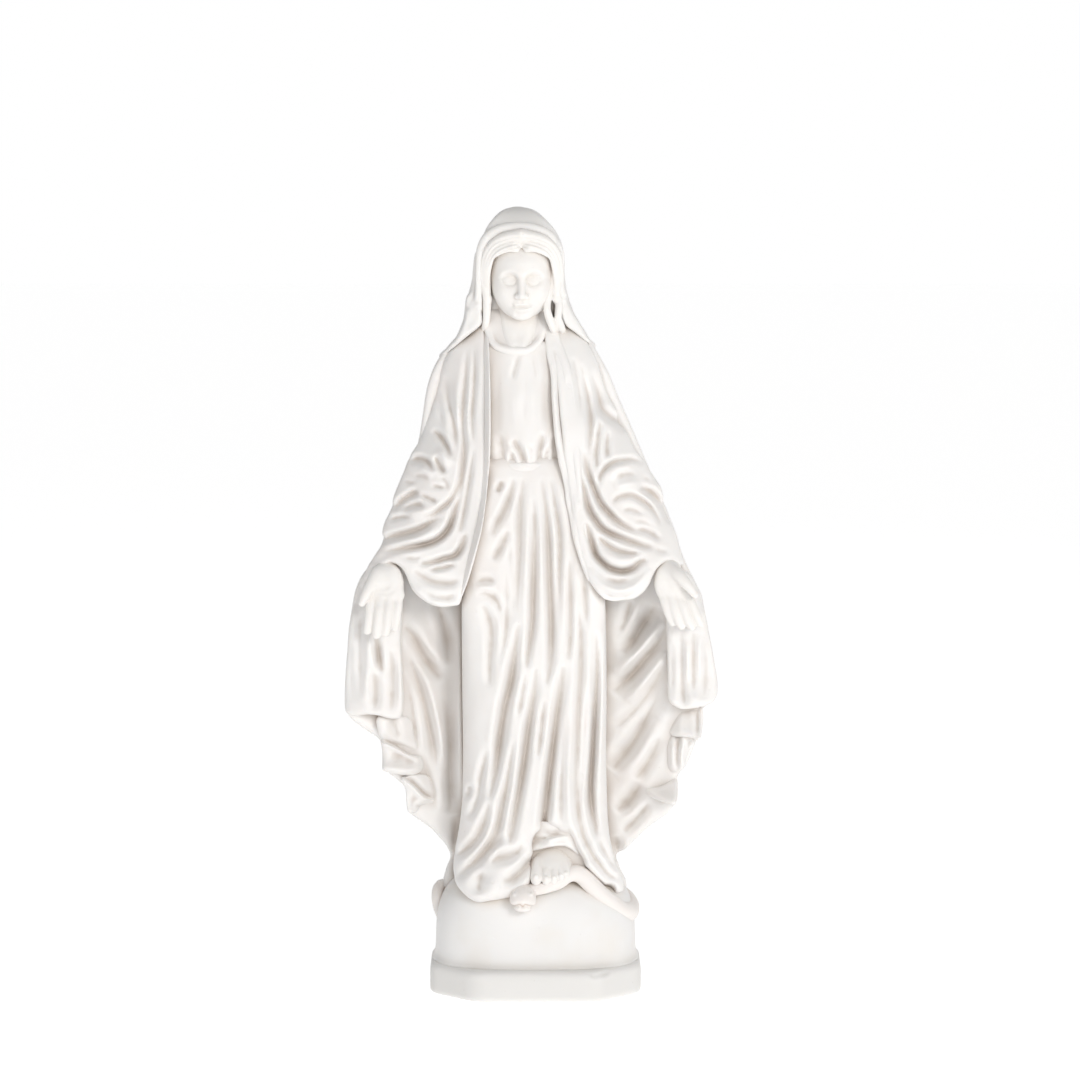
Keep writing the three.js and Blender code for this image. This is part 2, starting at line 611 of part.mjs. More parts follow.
function meshOf(name, solid) {
  const { vertProperties, triVerts } = solid.getMesh();
  const geometry = new THREE.BufferGeometry();
  geometry.setAttribute('position', new THREE.BufferAttribute(vertProperties, 3));
  geometry.setIndex(new THREE.BufferAttribute(triVerts, 1));
  geometry.computeVertexNormals();
  const look = GREYED.has(name) ? VEIL_STONE : STONE;
  const mesh = new THREE.Mesh(geometry, new THREE.MeshStandardMaterial(look));
  mesh.name = name;
  return mesh;
}

const group = new THREE.Group();
for (const [name, solid] of cutClear(PIECES)) group.add(meshOf(name, solid));

export default group;
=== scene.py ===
"""The looks of a cast plaster devotional statue: a veiled, robed figure with open hands on a
globe with a serpent. Every piece is sculpted as a distance field in millimetres, meshed, and
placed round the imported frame."""

import math

import bpy
import numpy as np
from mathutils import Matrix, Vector


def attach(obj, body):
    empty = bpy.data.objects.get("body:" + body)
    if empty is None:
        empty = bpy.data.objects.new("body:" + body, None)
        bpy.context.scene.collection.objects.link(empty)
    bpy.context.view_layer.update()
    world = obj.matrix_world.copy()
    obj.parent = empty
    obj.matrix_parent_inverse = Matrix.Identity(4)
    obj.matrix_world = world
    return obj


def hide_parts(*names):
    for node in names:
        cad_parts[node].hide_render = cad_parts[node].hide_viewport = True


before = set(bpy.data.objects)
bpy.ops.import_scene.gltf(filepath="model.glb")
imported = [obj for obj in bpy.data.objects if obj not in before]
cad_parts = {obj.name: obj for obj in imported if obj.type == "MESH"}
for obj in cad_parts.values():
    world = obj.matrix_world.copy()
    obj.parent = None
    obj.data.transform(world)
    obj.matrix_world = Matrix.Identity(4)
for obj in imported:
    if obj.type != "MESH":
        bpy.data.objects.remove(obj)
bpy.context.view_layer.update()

# ---- sampling and sight ----------------------------------------------------------------

MM = 0.001
COARSE = 0.5        # sample spacing on cloth and base, in mm
FINE = 0.25        # on the head, hands and foot

# Cloth outlines and folds are drawn on the middle plane y = 0 as the eye sees them there.
EYE_X, EYE_Y, EYE_Z = 1.7, -1591.2, 340.2
LOOK_AT = (1.7, 0.0, 173.0)
LENS_MM = 139.25


class Block:
    """A box of evenly spaced sample points."""

    def __init__(self, low, high, step):
        self.step = step
        self.x, self.y, self.z = (
            np.arange(a, b + step, step, dtype=np.float32) for a, b in zip(low, high))
        self.low = np.array([self.x[0], self.y[0], self.z[0]], np.float32)
        self.X = self.x[:, None, None]
        self.Y = self.y[None, :, None]
        self.Z = self.z[None, None, :]
        self.shape = (len(self.x), len(self.y), len(self.z))


class Drawing:
    """A plane of sample points, u to the right and v up."""

    def __init__(self, low, high, step):
        self.step = step
        self.u = np.arange(low[0], high[0] + step, step, dtype=np.float32)
        self.v = np.arange(low[1], high[1] + step, step, dtype=np.float32)
        self.U = self.u[:, None]
        self.V = self.v[None, :]


def drawing_for(block, seen=True):
    """The drawing that covers a block: seen from the eye, or plainly from behind."""
    corners = [seen_at(x, y, z) if seen else (x, z)
               for x in (block.x[0], block.x[-1])
               for y in (block.y[0], block.y[-1])
               for z in (block.z[0], block.z[-1])]
    low = np.min(corners, axis=0) - 1
    high = np.max(corners, axis=0) + 1
    return Drawing(low, high, max(block.step * 0.8, 0.3))


def seen_at(x, y, z):
    near = -EYE_Y / (y - EYE_Y)
    return EYE_X + (x - EYE_X) * near, EYE_Z + (z - EYE_Z) * near


def lift(values, drawing, block, seen=True):
    """A drawn map, looked up at every point of a block."""
    out = np.empty(block.shape, np.float32)
    for j, y in enumerate(block.y):
        u, v = seen_at(block.x, y, block.z) if seen else (block.x, block.z)
        i, a = _between(u, drawing.u, drawing.step)
        k, b = _between(v, drawing.v, drawing.step)
        rows = values[i] * (1 - a[:, None]) + values[i + 1] * a[:, None]
        out[:, j, :] = rows[:, k] * (1 - b) + rows[:, k + 1] * b
    return out


def _between(at, line, step):
    share = np.clip((at - line[0]) / step, 0, len(line) - 1.001).astype(np.float32)
    index = share.astype(np.int32)
    return index, share - index


def at(u, v, y, *rest):
    """The point at depth y that the eye sees at (u, v)."""
    away = (y - EYE_Y) / -EYE_Y
    return (EYE_X + (u - EYE_X) * away, y, EYE_Z + (v - EYE_Z) * away, *rest)


def spots(*points):
    return [at(*point) for point in points]


def mirrored(points):
    return [(-p[0], *p[1:]) for p in points]


# ---- curves and fields -----------------------------------------------------------------

def through(points, closed=False, per_span=5):
    """A smooth line through points of any size (Catmull-Rom)."""
    p = np.array(points, float)
    count = len(p)
    out = []
    for i in range(count if closed else count - 1):
        if closed:
            a, b, c, d = (p[(i + k) % count] for k in (-1, 0, 1, 2))
        else:
            b, c = p[i], p[i + 1]
            a = p[i - 1] if i else 2 * b - c
            d = p[i + 2] if i + 2 < count else 2 * c - b
        for k in range(per_span):
            t = k / per_span
            out.append(0.5 * (2 * b + (c - a) * t + (2 * a - 5 * b + 4 * c - d) * t * t
                              + (3 * b - a - 3 * c + d) * t ** 3))
    if not closed:
        out.append(p[-1])
    return np.array(out)


def smax(a, b, k):
    """The larger of two fields, rounded over k millimetres."""
    h = np.clip(0.5 + 0.5 * (a - b) / k, 0, 1)
    return b + (a - b) * h + k * h * (1 - h)


def smin(a, b, k):
    return -smax(-a, -b, k)


def step_up(x, low, high):
    t = np.clip((x - low) / (high - low), 0, 1)
    return t * t * (3 - 2 * t)


def bend(anchors, drawing):
    """A smooth surface through anchors (u, v, value): a thin-plate spline."""
    p = np.array(anchors, float)
    n = len(p)

    def kernel(square):
        return 0.5 * square * np.log(square + 1e-9)

    gaps = (p[:, None, 0] - p[None, :, 0]) ** 2 + (p[:, None, 1] - p[None, :, 1]) ** 2
    plane = np.column_stack([np.ones(n), p[:, :2]])
    system = np.zeros((n + 3, n + 3))
    system[:n, :n] = kernel(gaps) + np.eye(n) * 2.0
    system[:n, n:] = plane
    system[n:, :n] = plane.T
    weights = np.linalg.lstsq(system, np.append(p[:, 2], [0, 0, 0]), rcond=1e-9)[0]
    surface = weights[n] + weights[n + 1] * drawing.U + weights[n + 2] * drawing.V
    for (u, v, _), weight in zip(p, weights):
        surface = surface + weight * kernel((drawing.U - u) ** 2 + (drawing.V - v) ** 2)
    return surface.astype(np.float32)


def from_span(U, V, a, b):
    """How far along the span a-b its nearest point lies (0 to 1), and the offset from it."""
    du, dv = b - a
    share = ((U - a[0]) * du + (V - a[1]) * dv) / (du * du + dv * dv + 1e-12)
    share = np.clip(share, 0, 1)
    return share, U - a[0] - share * du, V - a[1] - share * dv


def inside_distance(line, drawing):
    """Distance to a closed line, negative inside it."""
    best = np.full((len(drawing.u), len(drawing.v)), 1e9, np.float32)
    crossed = np.zeros(best.shape, bool)
    for a, b in zip(line, np.roll(line, -1, axis=0)):
        _, eu, ev = from_span(drawing.U, drawing.V, a, b)
        np.minimum(best, eu ** 2 + ev ** 2, out=best)
        if a[1] != b[1]:
            straddles = (a[1] > drawing.V) != (b[1] > drawing.V)
            slope = (b[0] - a[0]) / (b[1] - a[1])
            crossed ^= straddles & (drawing.U < a[0] + (drawing.V - a[1]) * slope)
    distance = np.sqrt(best)
    return np.where(crossed, -distance, distance)


# A fold is (kind, depth, width, points). A groove goes into the cloth, a ridge stands out of
# it, and a lap lifts the cloth on the left of the line and drops it on the right.

def groove(depth, width, *points):
    return ("groove", depth, width, points)


def ridge(depth, width, *points):
    return ("ridge", depth, width, points)


def lap(depth, width, *points):
    return ("lap", depth, width, points)


SOFT_BOTTOM = 0.10     # rounding at the bottom of a fold, in mm
FOLD_NORM = 2.5        # how strongly the deepest of several folds wins
FOLD_GAIN = 2.5        # strengthens every fold alike
FOLD_END = 3.2         # a fold fades out over one part in this many of its length
VALLEY = 2.2           # width of the wide hollow round a sharp fold, in fold widths
BANK = 0.16            # how far the cloth rises beside a groove, in fold depths
BANK_AT = 2.6          # how far from the groove that is, in fold widths
BANK_WIDTH = 1.3
LAP_EDGE = 0.35        # half the width of the step of a lap, in mm


def relief(folds, drawing):
    """How far the folds push the surface inwards at each point of a drawing."""
    shape = (len(drawing.u), len(drawing.v))
    down = np.zeros(shape, np.float32)
    up = np.zeros(shape, np.float32)
    laps = np.zeros(shape, np.float32)
    for kind, depth, width, points in folds:
        line = through(points, per_span=4)
        reach = width * 2 * VALLEY + 1
        low_u, low_v = line.min(axis=0) - reach
        high_u, high_v = line.max(axis=0) + reach
        i0, i1 = np.searchsorted(drawing.u, (low_u, high_u))
        k0, k1 = np.searchsorted(drawing.v, (low_v, high_v))
        if i0 == i1 or k0 == k1:
            continue
        U, V = drawing.u[i0:i1, None], drawing.v[None, k0:k1]
        best = np.full((i1 - i0, k1 - k0), 1e9, np.float32)
        along = np.zeros_like(best)
        side = np.zeros_like(best)
        spans = len(line) - 1
        for n in range(spans):
            share, eu, ev = from_span(U, V, line[n], line[n + 1])
            du, dv = line[n + 1] - line[n]
            square = eu * eu + ev * ev
            nearer = square < best
            best = np.where(nearer, square, best)
            along = np.where(nearer, (n + share) / spans, along)
            side = np.where(nearer, du * ev - dv * eu, side)
        away = np.sqrt(best + SOFT_BOTTOM ** 2) - SOFT_BOTTOM
        fade = np.clip(np.minimum(along, 1 - along) * FOLD_END, 0, 1) ** 0.75
        fade = fade * FOLD_GAIN * depth
        push = np.exp(-away / width) + np.exp(-(away / (VALLEY * width)) ** 2)
        push = push * 0.5 * fade
        bank = np.exp(-((away - BANK_AT * width) / (BANK_WIDTH * width)) ** 2) * fade * BANK
        if kind == "groove":
            down[i0:i1, k0:k1] += push ** FOLD_NORM
            laps[i0:i1, k0:k1] -= bank
        elif kind == "ridge":
            up[i0:i1, k0:k1] += push ** FOLD_NORM
        else:
            soft_side = np.tanh(side / np.hypot(*(line[-1] - line[0])) * spans / LAP_EDGE)
            laps[i0:i1, k0:k1] -= push * soft_side
    return down ** (1 / FOLD_NORM) - up ** (1 / FOLD_NORM) + laps


NOTCH = 0.4            # share of a fold's depth by which it also notches the outline


def sheet(block, outline, front, back, folds=(), back_folds=(), roll=5, back_roll=3):
    """A slab of cloth. `front` and `back` are depth anchors (u, v, y)."""
    drawing = drawing_for(block)
    line = through(outline, closed=True)
    pressed = relief(folds, drawing)
    edge = lift(inside_distance(line, drawing) + NOTCH * pressed, drawing, block)
    ahead = lift(bend(front, drawing) + pressed, drawing, block) - block.Y
    if back_folds:
        rear = drawing_for(block, seen=False)
        surface = bend(back, rear) - relief(back_folds, rear)
        behind = block.Y - lift(surface, rear, block, seen=False)
    else:
        behind = block.Y - lift(bend(back, drawing), drawing, block)
    return smax(smax(ahead, edge, roll), smax(behind, edge, back_roll), 1.0)


def egg(block, centre, radii, turn=0.0):
    """An ellipsoid, turned about its upright axis by `turn` degrees."""
    x, y, z = block.X - centre[0], block.Y - centre[1], block.Z - centre[2]
    cosine, sine = math.cos(math.radians(turn)), math.sin(math.radians(turn))
    x, y = cosine * x + sine * y, cosine * y - sine * x
    a, b, c = radii
    one = np.sqrt((x / a) ** 2 + (y / b) ** 2 + (z / c) ** 2)
    two = np.sqrt((x / a ** 2) ** 2 + (y / b ** 2) ** 2 + (z / c ** 2) ** 2) + 1e-6
    return (one * (one - 1) / two).astype(np.float32)


FAR = 7.0              # how far from a limb its distance is worked out, in mm


def limb(block, points, per_span=4):
    """A rounded limb along points (x, y, z, radius)."""
    line = through(points, per_span=per_span)
    reach = line[:, 3].max() + FAR
    window = tuple(
        slice(*np.searchsorted(axis, (low - reach, high + reach)))
        for axis, low, high in zip((block.x, block.y, block.z),
                                   line[:, :3].min(axis=0), line[:, :3].max(axis=0)))
    x = block.x[window[0], None, None]
    y = block.y[None, window[1], None]
    z = block.z[None, None, window[2]]
    near = np.full((x.size, y.size, z.size), FAR, np.float32)
    for a, b in zip(line[:-1], line[1:]):
        ab = b[:3] - a[:3]
        px, py, pz = x - a[0], y - a[1], z - a[2]
        share = np.clip((px * ab[0] + py * ab[1] + pz * ab[2]) / (ab @ ab + 1e-9), 0, 1)
        gap = np.sqrt((px - share * ab[0]) ** 2 + (py - share * ab[1]) ** 2
                      + (pz - share * ab[2]) ** 2)
        np.minimum(near, gap - (a[3] + (b[3] - a[3]) * share), out=near)
    out = np.full(block.shape, FAR, np.float32)
    out[window] = near
    return out


def drawn(block, lines, width):
    """1 on lines drawn in the block's x and z, fading over `width`."""
    plane = Drawing((block.x[0], block.z[0]), (block.x[-1], block.z[-1]), block.step)
    best = np.full((len(plane.u), len(plane.v)), 99, np.float32)
    for points in lines:
        line = through(points, per_span=4)
        for a, b in zip(line[:-1], line[1:]):
            _, eu, ev = from_span(plane.U, plane.V, a, b)
            np.minimum(best, np.hypot(eu, ev), out=best)
    mark = np.exp(-(best / width) ** 1.5)[:len(block.x), None, :len(block.z)]
    return mark * step_up(-block.Y, 2, 6)


def soften(field):
    """A light blur, for the soft edges of a casting."""
    for axis in range(3):
        inner = [slice(None)] * 3
        ahead, back = list(inner), list(inner)
        inner[axis] = slice(1, -1)
        ahead[axis], back[axis] = slice(2, None), slice(None, -2)
        middle = field[tuple(inner)]
        field[tuple(inner)] = 0.5 * middle + 0.25 * (field[tuple(ahead)] + field[tuple(back)])


# ---- from field to mesh ----------------------------------------------------------------

CORNERS = np.array([(i, j, k) for i in (0, 1) for j in (0, 1) for k in (0, 1)])
EDGES = [(a, b) for a in range(8) for b in range(a + 1, 8)
         if np.abs(CORNERS[a] - CORNERS[b]).sum() == 1]


def surface_net(field, block):
    """Vertices and quads of the field's zero surface."""
    field = field.copy()
    for axis in range(3):
        for end in (0, -1):
            face = [slice(None)] * 3
            face[axis] = end
            field[tuple(face)] = np.maximum(field[tuple(face)], 0.01)
    solid = field < 0
    nx, ny, nz = (n - 1 for n in field.shape)
    count = np.zeros((nx, ny, nz), np.uint8)
    for i, j, k in CORNERS:
        count += solid[i:nx + i, j:ny + j, k:nz + k]
    cells = np.argwhere((count > 0) & (count < 8))
    index = np.full((nx, ny, nz), -1, np.int32)
    index[tuple(cells.T)] = np.arange(len(cells))
    values = np.stack([field[tuple((cells + corner).T)] for corner in CORNERS], axis=1)
    total = np.zeros((len(cells), 3), np.float32)
    hits = np.zeros(len(cells), np.float32)
    for a, b in EDGES:
        va, vb = values[:, a], values[:, b]
        crossing = (va < 0) != (vb < 0)
        share = np.where(crossing, va / np.where(crossing, va - vb, 1), 0)[:, None]
        spot = CORNERS[a] + share * (CORNERS[b] - CORNERS[a])
        total += np.where(crossing[:, None], spot, 0)
        hits += crossing
    vertices = (cells + total / hits[:, None]) * block.step + block.low
    quads = []
    for axis in range(3):
        p, q = (axis + 1) % 3, (axis + 2) % 3
        first = [slice(None)] * 3
        second = [slice(None)] * 3
        first[axis], second[axis] = slice(None, -1), slice(1, None)
        starts, ends = solid[tuple(first)], solid[tuple(second)]
        for flip in (False, True):
            hit = (ends & ~starts) if flip else (starts & ~ends)
            at = np.argwhere(hit)
            ring = []
            for dp, dq in ((0, 0), (1, 0), (1, 1), (0, 1)):
                cell = at.copy()
                cell[:, p] -= 1 - dp
                cell[:, q] -= 1 - dq
                ring.append(index[tuple(cell.T)])
            quad = np.stack(ring[::-1] if flip else ring, axis=1)
            quads.append(quad)
    return vertices.astype(np.float32), np.concatenate(quads)


class Neighbours:
    """Which vertices share an edge."""

    def __init__(self, quads, count):
        pairs = np.concatenate([quads[:, [k, (k + 1) % 4]] for k in range(4)])
        self.heads, self.tails = pairs[:, 0], pairs[:, 1]
        self.degree = np.maximum(np.bincount(self.heads, minlength=count), 1)[:, None]

    def mean(self, vertices):
        return np.stack([np.bincount(self.heads, vertices[self.tails, axis], len(vertices))
                         for axis in range(3)], axis=1) / self.degree


RELAXING = (0.5, -0.34, 0.5, -0.34)      # each inward step is followed by one outward


def relaxed(vertices, quads):
    """Evens out the vertices without shrinking the shape."""
    neighbours = Neighbours(quads, len(vertices))
    for strength in RELAXING:
        vertices = vertices + strength * (neighbours.mean(vertices) - vertices)
    return vertices.astype(np.float32)


# A coarse picture of what is solid, from which each piece learns how deep its recesses lie.
HAZE_STEP = 1.25
haze = Block((-82, -42, -4), (80, 38, 306), HAZE_STEP)
haze.solid = np.zeros(haze.shape, np.float32)
pieces = []


def remember(field, block, tip=None):
    """Adds a piece's field to the coarse picture."""
    ends = np.array([block.low, block.low + np.subtract(block.shape, 1) * block.step])
    corners = np.array([[ends[i, 0], ends[j, 1], ends[k, 2]] for i, j, k in CORNERS])
    if tip:
        corners = tip.out(corners)
    first = np.maximum(np.ceil((corners.min(axis=0) - haze.low) / HAZE_STEP), 0).astype(int)
    last = np.floor((corners.max(axis=0) - haze.low) / HAZE_STEP).astype(int)
    last = np.minimum(last, np.subtract(haze.shape, 1))
    grid = np.stack(np.meshgrid(*[np.arange(a, b + 1) for a, b in zip(first, last)],
                                indexing="ij"), axis=-1).reshape(-1, 3)
    points = haze.low + grid * HAZE_STEP
    own = np.round(((tip.back(points) if tip else points) - block.low) / block.step).astype(int)
    inside = np.all((own >= 0) & (own < block.shape), axis=1)
    grid, own = grid[inside], own[inside]
    value = np.clip(0.5 - field[tuple(own.T)] / HAZE_STEP, 0, 1)
    spot = tuple(grid.T)
    haze.solid[spot] = np.maximum(haze.solid[spot], value)


def piece(name, field, block, slot, nodes=None, tip=None):
    """Meshes a field and puts it in place of the CAD nodes, or of the one with its name."""
    soften(field)
    remember(field, block, tip)
    vertices, quads = surface_net(field, block)
    vertices = relaxed(vertices, quads)
    if tip:
        vertices = tip.out(vertices)
    mesh = bpy.data.meshes.new(name)
    mesh.vertices.add(len(vertices))
    mesh.vertices.foreach_set("co", (vertices * MM).ravel())
    mesh.loops.add(quads.size)
    mesh.loops.foreach_set("vertex_index", quads.ravel().astype(np.int32))
    mesh.polygons.add(len(quads))
    mesh.polygons.foreach_set("loop_start", np.arange(0, quads.size, 4, dtype=np.int32))
    mesh.update(calc_edges=True)
    mesh.shade_smooth()
    thing = bpy.data.objects.new(name, mesh)
    bpy.context.scene.collection.objects.link(thing)
    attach(thing, "root")
    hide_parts(*(nodes or [name]))
    pieces.append((thing, vertices, quads, slot))


def cloth(name, low, high, outline, front, back, folds, **rolls):
    """A piece made of one sheet."""
    block = Block(low, high, COARSE)
    field = sheet(block, outline, front, back, folds, **rolls)
    piece(name, field, block, "cast_plaster")


def blurred(values, width):
    """A separable blur, `width` samples to each side."""
    weights = np.exp(-0.5 * (np.arange(-width, width + 1) / (width * 0.5)) ** 2)
    weights /= weights.sum()
    for axis in range(3):
        padding = [(0, 0)] * 3
        padding[axis] = (width, width)
        wide = np.pad(values, padding, mode="edge")
        total = np.zeros_like(values)
        for k, weight in enumerate(weights):
            cut = [slice(None)] * 3
            cut[axis] = slice(k, k + values.shape[axis])
            total += weight * wide[tuple(cut)]
        values = total
    return values


def look_up(values, points):
    """The haze values at any points, blended from the eight samples round each."""
    share = (points - haze.low) / haze.step
    share = np.clip(share, 0, np.array(haze.shape) - 1.001)
    base = share.astype(int)
    part = share - base
    total = np.zeros(len(points), np.float32)
    for corner in CORNERS:
        weight = np.prod(np.where(corner, part, 1 - part), axis=1)
        total += weight * values[tuple((base + corner).T)]
    return total


def cavity(vertices, quads, reach):
    """How far each vertex lies below the surface smoothed over `reach`, in mm."""
    neighbours = Neighbours(quads, len(vertices))
    heads, tails = neighbours.heads[::50], neighbours.tails[::50]
    span = np.linalg.norm(vertices[heads] - vertices[tails], axis=1).mean()
    smooth = vertices.astype(np.float64)
    for _ in range(max(2, round((reach / span) ** 2))):
        smooth += 0.6 * (neighbours.mean(smooth) - smooth)
    across = np.cross(vertices[quads[:, 2]] - vertices[quads[:, 0]],
                      vertices[quads[:, 3]] - vertices[quads[:, 1]])
    normals = np.stack([sum(np.bincount(quads[:, k], across[:, axis], len(vertices))
                            for k in range(4)) for axis in range(3)], axis=1)
    normals /= np.linalg.norm(normals, axis=1)[:, None] + 1e-9
    return ((smooth - vertices) * normals).sum(axis=1)


RECESS_REACH = 4       # in haze steps
CREASE_REACH = 2.0     # in mm


def mark_recesses():
    """Stores on every vertex how enclosed it is and how deep it lies in a fold: the masks by which
    the plaster paints shade in recesses and creases and lightens ridges.
    """
    wide = blurred(haze.solid, RECESS_REACH)
    for thing, vertices, quads, _ in pieces:
        for label, values in (("recess", look_up(wide, vertices)),
                              ("crease", cavity(vertices, quads, CREASE_REACH))):
            layer = thing.data.attributes.new(label, "FLOAT", "POINT")
            layer.data.foreach_set("value", values.astype(np.float32))


# ---- plinth and globe ------------------------------------------------------------------

PLINTH_HALF = (40.5, 34.0)       # half the width and depth, in mm
PLINTH_TOP = 12.0
PLINTH_CORNER = 17.0             # how much each cut corner takes off a side
GLOBE_HALF = (38.5, 29.0)
GLOBE_RISE = 34.0
GLOBE_POWER = 4.0                # how full the dome's shoulders are, 2 for an ellipsoid
GLOBE_PLAN = 2.8                 # how square it is in plan, 2 for an ellipse


def make_plinth():
    block = Block((-43, -37, -1.5), (43, 37, 14), COARSE)
    w, d = PLINTH_HALF
    ax, ay = np.abs(block.X), np.abs(block.Y)
    side = smax(ax - w, ay - d, 3)
    side = smax(side, (ax + ay - (w + d - PLINTH_CORNER)) / math.sqrt(2), 3.5)
    field = smax(side, block.Z - PLINTH_TOP, 3.2)
    field = smax(field, -block.Z, 1.6)
    crack = limb(block, [(20.6, -33.4, 11.0, 0.6), (22.6, -33.6, 10.4, 1.1),
                         (24.6, -32.6, 10.6, 1.0), (27, -30.2, 10.8, 1.1),
                         (28.6, -28.4, 11.2, 0.5)])
    field = smax(field, -crack, 0.3)
    piece("plinth", field, block, "base_plaster")


def make_globe():
    block = Block((-41, -31.5, 10), (41, 31.5, 48), COARSE)
    flare = 1.3 * np.exp(-(block.Z - PLINTH_TOP) / 1.6)
    q = ((np.abs(block.X) / (GLOBE_HALF[0] + flare)) ** GLOBE_PLAN
         + (np.abs(block.Y) / (GLOBE_HALF[1] + flare)) ** GLOBE_PLAN) ** (1 / GLOBE_PLAN)
    rise = np.maximum((block.Z - PLINTH_TOP) / GLOBE_RISE, 0)
    field = ((q ** GLOBE_POWER + rise ** GLOBE_POWER) ** (1 / GLOBE_POWER) - 1) * GLOBE_HALF[1]
    field = smax(field, PLINTH_TOP - 0.6 - block.Z, 0.5)
    piece("globe", field, block, "base_plaster")


# ---- serpent ---------------------------------------------------------------------------

SERPENT_FRONT = [
    (-6, 36.5, -27, 3.2), (-1.5, 37, -27.5, 2.5), (4, 38, -27.5, 2.3), (9, 40, -26, 2.6),
    (12.5, 43, -24, 3.0), (16, 43.6, -22.5, 3.3), (19, 41.8, -22, 3.4), (22, 38.6, -21.5, 3.4),
    (25.5, 35, -20, 3.4), (29, 32, -18, 3.5), (32.4, 29.2, -14.5, 3.8),
]
SERPENT_BACK = [
    (35.4, -9.5, 30.4, 3.9), (36, -3, 30, 4.0), (36, 5, 30.5, 4.0), (33.5, 14, 32, 3.9),
    (26, 22.5, 33.5, 3.7), (12, 27, 34.5, 3.5), (-5, 27.8, 35, 3.2), (-20, 25, 35.5, 2.9),
    (-31.5, 17, 36.3, 2.6), (-36.8, 7, 37.6, 2.3),
]


def make_serpent():
    block = Block((-42, -30, 24), (43, 34, 53), COARSE)
    field = limb(block, spots(*SERPENT_FRONT) + SERPENT_BACK, per_span=3)
    piece("serpent_body", field, block, "serpent_plaster")

    block = Block((-13, -39, 30), (3, -20, 47), FINE)
    field = smin(egg(block, at(-4.9, 34.2, -29.5), (5.0, 5.6, 4.4)),
                 egg(block, at(-4.9, 31.8, -32.5), (4.5, 3.6, 3.4)), 2.2)
    field = smin(field, egg(block, at(-4.9, 36.8, -27), (4.2, 4.5, 3.0)), 1.5)
    for side in (-1, 1):
        field = smin(field, egg(block, at(-4.9 + 2.9 * side, 35.2, -33.2), (1.15, 1.2, 0.9)), 0.4)
        field = smax(field, -egg(block, at(-4.9 + 1.2 * side, 33, -36.4), (0.35, 0.9, 0.3)), 0.3)
    mouth = drawn(block, [[(-9.6, 34.4), (-7.4, 32.9), (-4.9, 33.3), (-2.4, 32.8), (-0.2, 34.4)]],
                  0.65)
    brow = drawn(block, [[(-8.6, 37), (-6, 38), (-4.9, 37.4), (-3.8, 38), (-1.2, 37)]], 0.7)
    piece("serpent_head", field + 3.2 * mouth + 1.6 * brow, block, "serpent_plaster")

    block = Block((-43, -8, 23), (-32, 9, 42), FINE)
    field = limb(block, [(-36.2, 7, 37.4, 2.3), (-37.6, 3.5, 37.2, 2.2), (-38.1, 0.5, 34.5, 2.2),
                         (-37.6, -1.5, 30.5, 2.0), (-36.7, -3, 27.6, 1.7)])
    piece("serpent_tail", field, block, "serpent_plaster")


# ---- skirt, underskirt and foot --------------------------------------------------------

SKIRT_OUTLINE = [
    (-20, 206), (-20.5, 196), (-22.5, 185), (-25.5, 172), (-28, 159), (-28.6, 150), (-28.5, 120),
    (-28.2, 90), (-28.6, 72), (-30, 60), (-31.5, 52), (-32, 45), (-31, 39.6), (-28.5, 36),
    (-25.5, 33.3), (-22, 31.9), (-17, 32.6), (-12, 33.4), (-6.6, 35), (-2.2, 38.6), (-0.9, 44),
    (-0.7, 50), (-0.9, 56), (1.4, 59.8), (5.5, 60), (9.5, 59.6), (12, 57.6), (13.6, 53.6),
    (15.8, 49.5),
    (20, 45.3), (24, 41), (28, 37.4), (31, 35.5), (33.6, 36.2), (34.3, 39), (33, 44),
    (30.8, 49.5), (29, 57), (27.8, 70), (27.2, 90), (27.3, 120), (27, 149), (25.5, 159),
    (21.5, 170), (17.5, 182), (15, 195), (13.5, 206),
]
SKIRT_FRONT = [
    (-18, 203, -17), (-4, 203, -18.5), (11, 203, -17), (-4, 188, -20.5), (-19, 185, -21.5),
    (11.5, 190, -21), (-22, 172, -23.2), (-4, 170, -23.5), (15, 170, -23), (-27, 152, -23.5),
    (-19, 152, -26), (-3, 148, -25.5), (12, 148, -25.5), (25.5, 150, -23.5), (-27, 110, -19),
    (-19, 112, -25.5), (-3, 110, -26.5), (14, 110, -26), (25.5, 110, -21), (-27, 74, -19),
    (-18, 72, -27), (0, 72, -28.5), (15, 72, -27.5), (26, 72, -21), (-31, 47, -20),
    (-21, 38, -31), (-10, 38, -31.5), (3, 62, -29), (13, 57, -28), (22, 47, -27),
    (32, 39, -20),
]
